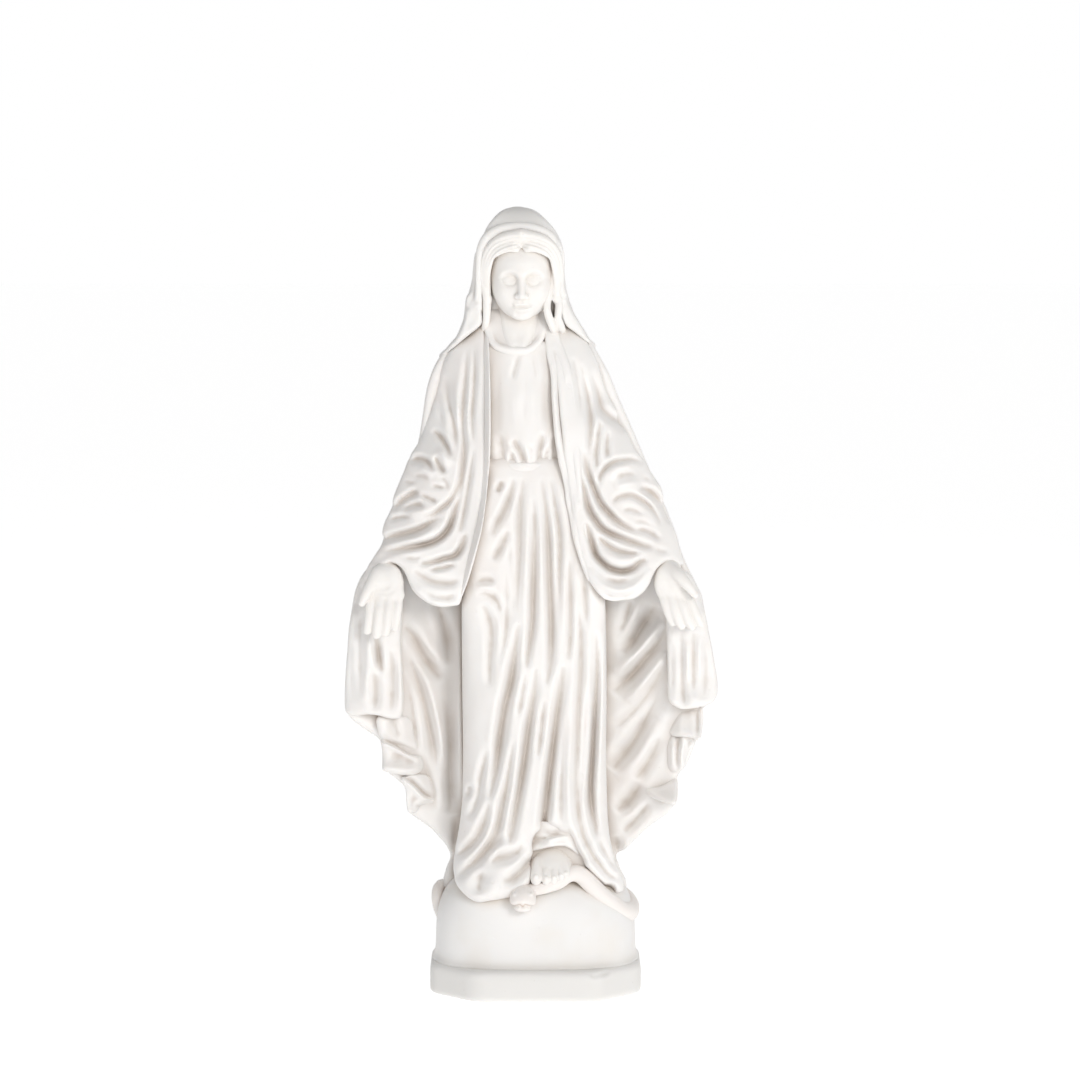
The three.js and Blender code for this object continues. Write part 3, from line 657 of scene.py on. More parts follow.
SKIRT_FOLDS = [
    # gathers under the belt
    groove(0.9, 0.7, (-12.5, 196), (-14.8, 191)),
    groove(1.3, 0.9, (-8, 197), (-9.8, 190), (-12.3, 184), (-14.5, 180), (-16.8, 174.5)),
    groove(1.1, 0.9, (-10.3, 177), (-13, 171), (-16.3, 165)),
    groove(1.2, 0.9, (-4.8, 197), (-6, 186), (-6.3, 170), (-7, 155), (-7.4, 140)),
    groove(1.6, 0.9, (0, 190), (-0.5, 170), (-1, 150), (-1.4, 140), (-3, 129), (-4, 122)),
    groove(1.7, 1.0, (2.5, 197), (4, 185), (5, 170), (5.5, 155), (6, 140), (5.6, 125), (4, 116)),
    groove(1.3, 0.8, (5.4, 197), (7, 188), (8.4, 180), (9.1, 172), (8.8, 155), (8.4, 135)),
    groove(0.8, 0.8, (-9, 178), (-9.2, 165), (-8.6, 150), (-9.5, 135)),
    # the long pleats
    groove(1.0, 1.0, (-10.8, 167), (-10.8, 150), (-11.5, 136), (-14, 124)),
    groove(2.6, 1.3, (-7.2, 142), (-8, 130), (-9.3, 119), (-11.5, 110), (-13, 101), (-14.3, 91),
           (-15.8, 81), (-18, 72)),
    groove(1.3, 1.0, (-17, 96), (-19.3, 88), (-21, 81), (-22.2, 74), (-24, 68), (-27, 65)),
    groove(2.0, 1.1, (-9, 97), (-10, 87), (-11.3, 77), (-13, 69), (-14.5, 62), (-17.5, 55),
           (-22, 49.5), (-27, 44.8), (-31, 41.5)),
    groove(1.6, 1.1, (-18, 72), (-19.6, 64), (-23, 57), (-27.5, 52.5), (-31, 50)),
    groove(2.2, 1.1, (0.3, 124), (-0.8, 113), (-2.6, 101), (-4.2, 89), (-5.8, 79), (-7.6, 69),
           (-9.3, 60), (-10.3, 54)),
    groove(0.9, 0.9, (-3.5, 124), (-5.3, 112), (-6.2, 104)),
    groove(2.7, 1.2, (10.8, 125), (9.6, 115), (8, 104), (6.6, 92), (5.2, 80), (4, 70),
           (3.4, 63.5), (5.5, 61), (9, 60)),
    groove(0.9, 1.0, (3.2, 112), (2.3, 100), (1.2, 88)),
    groove(1.0, 1.0, (11.6, 112), (10.5, 98), (9.6, 86), (9.6, 72), (10, 62)),
    groove(1.1, 0.8, (13, 166), (13.4, 150), (13.3, 136), (12.6, 126)),
    groove(1.2, 0.9, (15.4, 163), (16.8, 150), (17.3, 136), (17.3, 122), (16.6, 108),
           (16.2, 92), (15.8, 78), (16.5, 66), (18.5, 56), (23, 48)),
    groove(1.0, 0.7, (18.2, 160), (19, 150), (19.6, 138)),
    groove(1.2, 0.7, (20.5, 118), (19.6, 104), (19, 90), (18, 80), (17.6, 70)),
    groove(2.4, 0.9, (23.6, 138), (23.4, 120), (22.6, 104), (21.8, 90), (21.1, 78), (21.4, 70),
           (22.6, 63), (24, 57)),
    groove(0.9, 0.9, (-17.8, 116), (-17.6, 128), (-17.4, 140)),
    # the knee
    groove(0.7, 1.0, (-23.5, 156.6), (-19, 157.6), (-15, 157)),
    groove(1.0, 1.0, (-23, 152), (-19, 152.2), (-15.3, 150), (-13.6, 146), (-13.2, 140)),
    groove(1.0, 1.3, (-20.5, 148.5), (-17.6, 142), (-16.6, 133), (-17, 124)),
    ridge(0.9, 1.6, (-24, 154.5), (-19.5, 154.8), (-15.5, 153.5)),
    # towards the hem, left
    groove(1.4, 1.1, (-11.5, 60), (-14.5, 56.5), (-17.5, 54), (-20.5, 52)),
    groove(1.2, 1.3, (-5, 56), (-6.6, 52.3), (-10, 50.5), (-14.5, 49.6), (-18, 47.5)),
    groove(1.3, 1.8, (-20.5, 45), (-21.6, 40), (-22, 35)),
    groove(1.8, 1.3, (-1.5, 51.5), (-3, 48), (-5.5, 44.5), (-9, 41.5), (-13, 40.3)),
    groove(1.0, 1.0, (-26.4, 78), (-25.2, 76), (-26.8, 72)),
    # towards the hem, right
    groove(1.7, 1.1, (12.5, 62), (14.6, 55), (17, 50.5), (20, 47)),
    groove(1.5, 1.1, (17.3, 66), (18.3, 58.5), (21, 52.5), (25, 47), (29, 42.5), (32, 40)),
    groove(1.1, 1.0, (24.5, 58), (26, 52.5), (29, 47.5), (32, 44)),
    groove(1.0, 1.0, (21.3, 51.5), (24, 48.5), (27.5, 45)),
    groove(1.4, 1.1, (27, 39), (28.6, 37.7), (31, 36.8)),
    ridge(0.8, 1.0, (25.4, 140), (25.4, 110), (25, 80), (26, 66)),
    ridge(0.6, 1.5, (13, 100), (12.6, 84), (12.6, 70), (14.2, 59), (18, 51)),
]


def make_skirt():
    back = [(-20, 200, 4), (15, 200, 4), (-25, 120, 8), (25, 120, 8), (-25, 45, 10), (25, 45, 10)]
    cloth("skirt", (-36, -34, 34), (37, 13, 209), SKIRT_OUTLINE, SKIRT_FRONT, back,
          SKIRT_FOLDS, roll=7, back_roll=4)


def make_underskirt():
    block = Block((-9, -31, 40), (22, -4, 68), FINE)
    outline = [(-3, 64), (-4, 55), (-3.2, 51.6), (0.5, 52.4), (5, 53.6), (10, 54), (13, 53.2),
               (16.5, 50.6), (17, 55), (13, 64)]
    front = [(-3, 56, -22), (6, 62, -25.5), (6, 54, -27.5), (15, 53, -23)]
    back = [(-3, 60, -8), (15, 60, -8), (6, 50, -8)]
    folds = [
        lap(0.6, 1.2, (13, 58.2), (8, 58), (4, 57), (-1.5, 56.6)),
        groove(0.8, 0.7, (-1.5, 56.4), (2, 56.2), (5, 56.8)),
        groove(0.4, 0.7, (2, 60.8), (6, 59.2), (10, 59.8)),
        groove(0.4, 0.7, (6.5, 55.4), (10, 55.6), (12.6, 54.8)),
    ]
    hem = sheet(block, outline, front, back, folds, roll=1.6, back_roll=2)
    # the shadowed cloth behind the foot
    inner = sheet(block, [(-5, 58), (-5, 40), (1, 37), (14, 40), (20, 45), (17, 58)],
                  [(-4, 52, -21), (16, 52, -21), (-4, 40, -22), (16, 40, -22)],
                  [(-4, 50, -6), (6, 55, -6), (16, 48, -6)], roll=2, back_roll=2)
    piece("underskirt", smin(hem, inner, 0.8), block, "cast_plaster")


def make_foot():
    block = Block((-5, -34, 38), (18, -5, 60), FINE)
    field = smin(egg(block, at(6.0, 48, -18.5), (8.4, 8, 4.8)),
                 egg(block, at(5.8, 45.4, -23), (8.2, 5.0, 3.0)), 2.5)
    field = smin(field, limb(block, [(6.2, -12, 56, 5.5), (6.2, -17, 52, 6.0)]), 3)
    toes = [(0.2, 39.6, -29.4, 2.2), (4.1, 39.3, -29.4, 1.75), (7.1, 39.6, -29, 1.65),
            (9.7, 40.4, -28.2, 1.55), (11.9, 41.4, -27, 1.4)]
    for u, v, y, size in toes:
        inward = 0.12 * (6 - u)
        toe = limb(block, spots((u + inward, v + 8.6, y + 6.6, size * 0.95),
                                (u + 0.5 * inward, v + 5.6, y + 2.8, size * 0.95),
                                (u, v + 2.6, y + 0.6, size), (u, v + 1.2, y + 0.8, size * 0.9)))
        nail = egg(block, at(u, v + 2.2, y - size * 0.72), (size * 0.55, 0.4, size * 0.6))
        field = smin(field, smin(toe, nail, 0.3), 0.35)
    field = smax(field, 42.3 - block.Z, 0.8)
    piece("foot", field, block, "skin_plaster")


# ---- mantle ----------------------------------------------------------------------------

MANTLE_OUTLINE = [
    (-10, 263), (-22, 259), (-29, 252.5), (-33.8, 247.3), (-37.6, 242), (-40, 237), (-42, 230),
    (-43.5, 220), (-45.3, 210), (-48, 203), (-51.5, 196), (-54, 189), (-57.3, 180), (-59, 172),
    (-63.5, 164), (-66.5, 160), (-68.3, 156.5), (-69.8, 152), (-71, 145), (-72, 137),
    (-72.8, 128), (-73.2, 120), (-73.3, 112), (-73, 107), (-71.6, 103.9), (-68, 101),
    (-64, 98.3), (-60.5, 95.8), (-59, 92), (-58.6, 86), (-57, 82.7), (-53.5, 80), (-51, 77.5),
    (-49.8, 74), (-49.3, 69), (-48.3, 66.5), (-44, 63.5), (-40, 60.5), (-37, 57), (-34.5, 54),
    (-33.6, 50), (-34.7, 46), (-36, 41), (-36, 37), (-27, 35), (0, 34.5), (27, 35), (34.5, 37),
    (35.2, 41), (33, 45.5), (32.3, 49.5), (35, 53), (38, 56), (42, 60), (45, 62.5), (50, 66),
    (53.3, 69.5), (54.6, 73), (54.7, 79), (55.5, 82.3), (58.3, 85.5), (60.3, 90), (62, 94.5),
    (63.6, 99), (64, 106), (66, 108.8), (69, 110.5), (70.2, 114), (70, 120), (69, 126),
    (68, 132), (67, 137), (66, 142), (65, 147), (64, 152), (62, 156), (60.5, 159), (58, 164),
    (56, 169), (54.3, 175), (52, 181), (49.6, 187), (47, 193), (44, 200), (41, 207), (38, 214),
    (34.5, 222), (31.5, 229), (28.5, 236.5), (25, 243), (21, 250), (16, 257), (6, 262),
]
MANTLE_FRONT = [
    (-6, 250, 3), (-30, 245, -3), (22, 243, -3), (-42, 215, -6), (37, 212, -6), (-52, 190, -9),
    (48, 188, -9), (-65, 160, -12), (61, 157, -12), (-5, 150, 10), (28, 150, 1), (-29, 150, 1),
    (-31, 100, 3), (29, 100, 3), (-32, 60, 5), (32, 60, 5), (-72, 130, -12), (68, 128, -12),
    (-72, 107, -10), (69, 112, -9), (-50, 135, -5), (48, 135, -5), (-50, 105, -4), (48, 105, -4),
    (-58.5, 92, -7), (62, 97, -5), (-48, 72, -2), (51, 72, -2), (-35, 42, 3), (34, 42, 3),
    (-5, 60, 12),
]
MANTLE_BACK = [
    (-5, 256, 14), (-24, 251, 11), (15, 250, 11), (-30, 244, 9), (22, 242, 9), (-44, 207, 6),
    (40, 205, 6), (-5, 205, 22), (-25, 205, 17), (17, 205, 17), (-5, 150, 26), (-30, 150, 19),
    (25, 150, 19), (-5, 100, 27.5), (-30, 100, 18), (27, 100, 18), (-5, 50, 28.5),
    (-33, 48, 21), (32, 48, 21), (-58, 172, 2), (55, 172, 2), (-70, 140, -4), (66, 137, -4),
    (-71, 110, -3), (67, 114, -2), (-50, 135, 9), (48, 135, 9), (-50, 105, 9), (48, 105, 9),
    (-57, 92, 3), (60, 97, 3), (-47, 72, 8), (50, 72, 8),
]
LINING_FOLDS = [
    # left
    groove(2.2, 1.5, (-50.5, 140), (-47, 136), (-44, 130), (-40.5, 124.5), (-36.5, 119)),
    groove(2.0, 1.5, (-49, 133), (-47, 124), (-45, 117), (-43.3, 111), (-41.5, 103),
           (-40, 97), (-39, 91), (-38, 85), (-37, 77)),
    groove(1.4, 1.3, (-50, 122), (-47.8, 111), (-46.6, 101), (-45.6, 90)),
    groove(1.8, 1.6, (-34.5, 112), (-33.3, 97), (-33, 85), (-32.6, 75), (-33.2, 67)),
    groove(1.0, 1.3, (-38, 150), (-36, 143), (-34, 135), (-33.5, 125)),
    groove(1.2, 1.5, (-43.5, 93), (-42, 84), (-40.5, 76), (-38, 68)),
    ridge(1.5, 2.0, (-49, 141), (-44.8, 136), (-40.5, 130.5), (-36.5, 126)),
    ridge(1.6, 2.0, (-46.3, 126), (-41.8, 117), (-38.8, 107), (-36.4, 96), (-35.2, 84)),
    ridge(1.2, 1.3, (-29.4, 150), (-29.2, 120), (-29.2, 95), (-29.8, 72)),
    groove(1.2, 1.0, (-30.6, 66), (-31, 58), (-31.4, 50), (-31.6, 42)),
    groove(0.8, 1.0, (-28.5, 63), (-28, 60), (-26, 58.7)),
    # right
    groove(3.2, 2.0, (46, 148), (43, 143), (40, 138), (37, 133), (33.5, 128.5)),
    groove(2.6, 1.7, (51, 139), (46, 132), (42, 127), (38, 122), (34, 118), (30, 114)),
    groove(2.6, 2.0, (49, 118), (44, 107), (41, 101), (38, 95), (35, 91), (31.5, 86.5),
           (29.5, 84)),
    groove(1.4, 1.6, (50, 126), (46, 118), (41.5, 111), (36, 104.5), (31, 100)),
    groove(2.2, 1.8, (41, 79), (38, 74.5), (35, 71), (31, 68)),
    groove(1.3, 1.4, (48, 97), (45, 90), (41.5, 84), (38, 80)),
    groove(1.3, 1.2, (44, 72), (41, 67.5), (37, 63), (33.5, 59.5)),
    ridge(1.7, 2.0, (48.5, 142), (44.5, 136.5), (40, 131), (35, 125), (31, 121)),
    ridge(1.6, 2.0, (50, 130), (46, 123.5), (41, 117), (35, 110.5)),
    ridge(1.4, 2.2, (47, 104), (43.5, 97), (39.5, 90.5), (35, 85), (31, 81)),
    groove(1.6, 1.3, (31, 58), (31.2, 53), (31, 48)),
    groove(1.1, 1.2, (36.5, 150), (34.5, 142), (31.5, 134)),
]
OUTSIDE_FOLDS = [
    groove(2.6, 3.0, (-8, 242), (-13, 205), (-19, 160), (-24, 110), (-27, 45)),
    groove(2.0, 2.2, (-4, 238), (-6, 200), (-9, 150), (-12, 95), (-14, 42)),
    groove(2.8, 3.0, (0, 240), (3, 200), (5, 150), (5, 100), (3, 42)),
    groove(1.8, 2.2, (5, 242), (10, 205), (14, 160), (16, 110), (17, 42)),
    groove(2.4, 2.8, (9, 244), (18, 205), (24, 160), (28, 115), (29, 45)),
    groove(2.2, 2.8, (-15, 247), (-25, 215), (-33, 175), (-38, 130), (-38, 75)),
    groove(2.0, 2.6, (-20, 248), (-33, 220), (-44, 185), (-51, 145), (-52, 92)),
    groove(1.7, 2.2, (-25, 247), (-39, 218), (-51, 188), (-60, 150), (-63, 108)),
    groove(2.2, 2.8, (16, 243), (27, 212), (34, 175), (38, 135), (38, 80)),
    groove(1.8, 2.4, (20, 242), (34, 212), (43, 180), (50, 145), (54, 98)),
    groove(1.5, 2.0, (23, 241), (39, 208), (51, 178), (59, 145), (61, 118)),
    ridge(1.3, 3.0, (-11, 240), (-18, 205), (-26, 160), (-31, 115), (-33, 55)),
    ridge(1.2, 2.8, (13, 240), (22, 205), (29, 162), (33, 118), (34, 62)),
    ridge(1.3, 3.2, (-2, 236), (-1.5, 195), (-2, 140), (-4, 90), (-5, 45)),
]


def make_mantle():
    block = Block((-78, -18, 36), (75, 33, 266), COARSE)
    field = sheet(block, MANTLE_OUTLINE, MANTLE_FRONT, MANTLE_BACK, LINING_FOLDS,
                  OUTSIDE_FOLDS, roll=4, back_roll=5)
    piece("mantle", field, block, "cast_plaster",
          nodes=["mantle_back", "mantle_wing_left", "mantle_wing_right"])


# The turned-back edges, drawn from the wrist down.
EDGES_OF_MANTLE = {
    "cascade_left_upper": (
        [(-73.2, 106.3), (-73.7, 112), (-73.5, 120), (-73, 128), (-72.3, 136), (-71.5, 142),
         (-70.5, 148), (-69.4, 152.5), (-67.8, 157), (-65, 161), (-60, 163), (-54, 161),
         (-50.7, 152), (-51, 143), (-51.4, 134), (-51.4, 120), (-50.8, 109), (-51.2, 104.9),
         (-53, 103.6), (-57, 103.8), (-60, 104.8), (-65, 105.3), (-70, 104.7)],
        [(-68, 156, -15), (-60, 158, -17), (-53, 152, -16), (-72, 130, -14.5),
         (-62, 132, -18), (-52.5, 125, -15), (-72.5, 108, -12.5), (-62, 106, -17),
         (-52, 106, -15)],
        [(-68, 156, -8), (-72, 108, -5), (-52, 106, -4), (-52, 152, -8)],
        [groove(1.0, 1.4, (-67.3, 146), (-67.6, 130), (-67.2, 112)),
         groove(2.0, 0.9, (-61.3, 136), (-60.7, 131), (-60.2, 127), (-58.8, 121)),
         groove(1.1, 1.4, (-62.3, 124), (-61.6, 115), (-62, 106)),
         groove(0.9, 1.3, (-55.3, 131), (-55, 118), (-55.6, 105)),
         groove(0.7, 1.2, (-70.6, 140), (-71, 125), (-70.6, 110)),
         ridge(0.9, 1.2, (-52.3, 132), (-52.2, 118), (-52, 106)),
         ridge(0.8, 1.6, (-65, 140), (-64.7, 125), (-64.6, 108)),
         groove(0.9, 1.1, (-66, 158), (-68, 151), (-69.3, 143)),
         groove(0.7, 1.0, (-63.5, 160.5), (-66, 155.5), (-67.6, 149.5))]),
    "cascade_left_middle": (
        [(-60.6, 105), (-60.2, 97.5), (-59.6, 95), (-59.3, 90), (-59.2, 84.6), (-58.3, 83.2),
         (-54, 82.5), (-50, 81.8), (-47, 81.8), (-44, 83.3), (-42.8, 86.5), (-43.8, 91),
         (-46, 98), (-49, 105)],
        [(-58, 100, -10.5), (-52, 101, -7.5), (-58.5, 88, -10), (-51, 86, -9.5), (-43.5, 86, -2.5),
         (-46.5, 97, -2)],
        [(-58, 100, -3), (-58, 86, -2), (-45, 88, 2), (-50, 103, 0)],
        [lap(1.9, 0.9, (-43.5, 89.2), (-47.5, 89.8), (-51, 91.4), (-55, 93.6), (-61, 96)),
         groove(1.0, 2.2, (-46, 87.6), (-50.5, 89), (-55, 91.4)),
         ridge(0.8, 1.0, (-60, 85.4), (-54, 84.4), (-48, 84), (-43.5, 85.6)),
         ridge(0.8, 1.6, (-58.6, 106), (-58, 101), (-57.8, 97)),
         groove(0.7, 1.0, (-54.5, 105), (-53.6, 100), (-52.4, 95))]),
    "cascade_left_lower": (
        [(-51.2, 82), (-50.3, 75.6), (-50.1, 69.2), (-48.9, 66.8), (-46.6, 66.7), (-45, 67.8),
         (-40.5, 68.6), (-36.5, 68.4), (-36.6, 74), (-39.5, 82)],
        [(-49, 76, -7), (-44, 79, -4), (-48, 69, -7), (-37.5, 70, 4), (-39.5, 80, 3)],
        [(-49, 76, 0), (-42, 79, 3), (-48, 69, 0), (-38, 71, 5)],
        [lap(1.7, 0.8, (-38.5, 72), (-43, 74), (-47.5, 78.4), (-52.5, 82)),
         groove(1.3, 0.7, (-37.5, 70.4), (-41, 70.2), (-44, 69.6), (-47, 69.8)),
         groove(0.6, 1.2, (-46.2, 74), (-47.4, 70.8), (-48, 67.6))]),
    "cascade_right_upper": (
        [(49.4, 152), (50, 138), (50.2, 125), (50.4, 114), (51.2, 110.5), (53.3, 108.6),
         (56, 107.3), (59.5, 107.5), (63, 108.1), (66.5, 109), (69, 110.8), (70.3, 114),
         (70.1, 119.5), (69, 126), (68, 132), (67, 137), (66, 142), (65, 147), (63.8, 152),
         (61.5, 157), (58, 161), (52, 161)],
        [(60, 156, -17), (52, 152, -16), (52, 125, -14.5), (60, 130, -18), (68, 128, -14.5),
         (54, 110, -16), (62, 110, -17), (69, 113, -13)],
        [(60, 156, -8), (52, 112, -4), (68, 113, -4), (52, 152, -8)],
        [groove(1.2, 1.2, (56.3, 138), (56.2, 126), (56.6, 114), (57.3, 108)),
         groove(1.1, 1.2, (60.6, 138), (60.5, 124), (60.7, 112)),
         groove(0.8, 1.2, (64.8, 136), (65.2, 122), (64.7, 111)),
         groove(0.9, 1.1, (52.8, 134), (52.6, 122), (53.2, 111)),
         ridge(0.8, 1.3, (58.6, 134), (58.5, 118)),
         ridge(0.8, 1.3, (62.8, 136), (63, 120)),
         groove(0.8, 1.0, (61, 160), (63.3, 153), (65, 145))]),
    "cascade_right_middle": (
        [(49.8, 109), (50, 100.5), (50.5, 98.3), (53, 96.8), (56, 96.7), (60, 96.2),
         (62.4, 94.8), (63.8, 96), (64.4, 99.5), (64.5, 108.5), (58, 110)],
        [(62.5, 102, -11.5), (57, 98, -11), (50.2, 102, -3), (51, 98, -6)],
        [(62, 102, -3), (52, 102, 0), (57, 97, -1)],
        [groove(0.8, 0.6, (62, 110), (62.2, 102), (62.2, 95)),
         ridge(0.6, 1.3, (57, 110), (56, 103), (55.4, 96)),
         groove(0.6, 1.2, (52.4, 108), (51.6, 102), (52, 97))]),
    "cascade_right_lower": (
        [(49.3, 98), (49.2, 90), (50.5, 84.3), (53, 82.8), (55.8, 83.2), (58.3, 87),
         (60.6, 91.5), (61.7, 95.5), (59, 98.5)],
        [(59, 93, -9), (53, 92, -6.5), (55, 86, -7.5), (49.5, 91, 0)],
        [(59, 93, 0), (51, 92, 3), (55, 86, 1)],
        [ridge(1.0, 0.9, (53, 98), (52.8, 90), (53.3, 83)),
         ridge(0.9, 0.8, (57, 98), (56.3, 90), (55.6, 84)),
         groove(1.1, 0.7, (55, 99), (54.6, 91), (54.4, 83)),
         groove(1.4, 0.9, (60, 98), (58.8, 92), (57, 86))]),
    "cascade_right_lowest": (
        [(41, 79.5), (45.5, 80), (50, 81.6), (54.6, 82.6), (55.1, 78), (54.9, 72.3),
         (53.5, 69.8), (50.5, 71.2), (47, 72.3), (43.2, 74.3)],
        [(52.5, 77, -7.5), (42, 77.5, 3), (48, 75, -5)],
        [(52.5, 77, 0), (43, 77.5, 4), (48, 75, 2)],
        [groove(2.0, 0.8, (43, 78.6), (47, 79.2), (51, 80.8), (56, 82.6)),
         ridge(0.9, 1.0, (41, 78), (45.5, 74.8), (50, 72.4), (54, 71))]),
}


def make_mantle_edges():
    for name, (outline, front, back, folds) in EDGES_OF_MANTLE.items():
        points = np.array([at(u, v, y) for u, v in outline for y in (-20, 6)])
        low, high = points.min(axis=0) - 2, points.max(axis=0) + 2
        cloth(name, low, high, outline, front, back, folds, roll=3.5)


# ---- front edges and sleeves -----------------------------------------------------------

def make_front_left():
    outline = [
        (-18.0, 255.5), (-20.2, 254.5), (-21.2, 250), (-21, 243), (-21, 234), (-21.7, 225),
        (-22.2, 215), (-22, 206), (-23, 199), (-24.8, 190), (-26.8, 180), (-28.8, 170),
        (-30.4, 160), (-31.2, 153), (-30.6, 149.8), (-29.2, 148.6), (-27, 153.4),
        (-24.7, 160), (-22.2, 169), (-20.3, 177), (-18.6, 188), (-17.6, 198), (-17.1, 206),
        (-17.1, 225), (-17.3, 243),
    ]
    front = [
        (-19, 253, -9), (-19, 245, -14.6), (-19.2, 225, -19), (-19.5, 203, -22.2),
        (-22, 183, -24.9), (-26, 165, -27.2), (-29, 149, -28.6),
    ]
    back = [(-19, 253, -1), (-19, 240, -5), (-20, 203, -9), (-26, 180, -10), (-29, 149, -17)]
    folds = [
        groove(0.7, 0.6, (-18.9, 202), (-19.8, 193), (-21.6, 183), (-23.6, 173), (-26, 163)),
        ridge(0.5, 0.7, (-18.2, 240), (-18.3, 222), (-18.5, 205)),
        groove(0.5, 0.7, (-19.8, 243), (-19.4, 232), (-19.8, 220), (-20, 208)),
    ]
    cloth("mantle_front_left", (-35, -31, 144), (-14, 4, 258), outline, front, back, folds,
          roll=2.2)


def make_front_right():
    outline = [
        (3.2, 255.5), (3.6, 245), (4.8, 240), (5.6, 235), (6.1, 228), (6.6, 220), (7.1, 213),
        (7.7, 208), (8.4, 203), (9.4, 199), (10.6, 193), (11.2, 188), (12.2, 183), (13.2, 178),
        (14.2, 173), (15.4, 169), (17, 164), (18.7, 159.5), (20.4, 156.6), (22.4, 158.6),
        (22.2, 165), (20.6, 172), (19.6, 180), (18.6, 188), (18, 196), (17.8, 205),
        (17.2, 214), (16.4, 221), (15.6, 228), (14.8, 235), (13.4, 241), (10.8, 248),
        (7.6, 255.5),
    ]
    front = [
        (5, 252, -10), (9, 248, -11.5), (5.5, 240, -15.5), (12, 238, -15.5), (8, 222, -19),
        (15, 220, -19), (9.5, 203, -22), (16, 203, -22), (15, 185, -24.5), (18, 170, -26),
        (21, 159, -27),
    ]
    back = [(6, 252, -1), (10, 238, -5), (12, 203, -9), (18, 185, -10), (20, 160, -16)]
    folds = [
        groove(1.0, 0.8, (6.4, 247), (8.5, 240), (9.3, 232), (10, 224), (11, 215), (12, 208),
               (13.2, 201), (14.6, 194), (15.8, 187)),
        groove(0.7, 0.7, (10.2, 206), (11.6, 198), (12.9, 190), (14.2, 182), (15.8, 174)),
        groove(0.6, 0.7, (12.6, 236), (13, 228), (13.6, 219), (14.6, 210)),
        ridge(0.5, 0.8, (6.4, 236), (7.4, 222), (8.8, 208)),
        groove(0.8, 0.7, (16.4, 186), (17.4, 177), (19.2, 168), (20.6, 162)),
    ]
    cloth("mantle_front_right", (0, -31, 153), (26, 4, 258), outline, front, back, folds,
          roll=2.2)


SLEEVE_LEFT = [
    (-19.4, 255.6), (-22, 255.2), (-25.2, 252), (-30, 248.3), (-34, 244.2), (-36, 240),
    (-37.3, 235), (-38.3, 230), (-40.3, 223), (-42.3, 218), (-44.5, 211.5), (-48.3, 205.3),
    (-50.4, 200), (-52.5, 195), (-54.5, 190), (-55.6, 185), (-58, 180), (-59, 176),
    (-58.8, 172.5), (-60, 170), (-62, 167), (-64.3, 163.4), (-65.6, 159.5), (-65.2, 156),
    (-63, 156.5), (-60, 160.5), (-57, 163.4), (-55, 164), (-52, 162.4), (-50, 159.4),
    (-49, 157), (-47, 153.4), (-44, 150.4), (-40, 148), (-36, 147), (-31, 147.4),
    (-28.6, 148.8), (-26, 159), (-23.6, 168.5), (-21.8, 177.5), (-20.2, 188), (-19.2, 198),
    (-18.6, 206), (-18.6, 226), (-18.7, 243),
]
SLEEVE_LEFT_FRONT = [
    (-22, 253, -8), (-27, 250, -7), (-31, 244, -8), (-21, 240, -14.5), (-27, 236, -13),
    (-37, 232, -6), (-22, 222, -18), (-32, 222, -15), (-41, 216, -8), (-22, 205, -21),
    (-29, 206, -19.5), (-38, 205, -17.5), (-47, 203, -12), (-25, 188, -23), (-31, 188, -22),
    (-42, 188, -21), (-53, 186, -15), (-28, 170, -25.5), (-36, 172, -25), (-46, 173, -23.5),
    (-57, 173, -19), (-31, 151, -28), (-41, 153, -27.5), (-49, 160, -26), (-56, 166, -24),
    (-63.5, 160, -19),
]
SLEEVE_LEFT_BACK = [
    (-26, 250, 4), (-38, 225, 4), (-46, 205, 2), (-54, 186, -1), (-62, 165, -7),
    (-30, 150, -15), (-42, 154, -15), (-30, 190, -6), (-55, 166, -13),
]
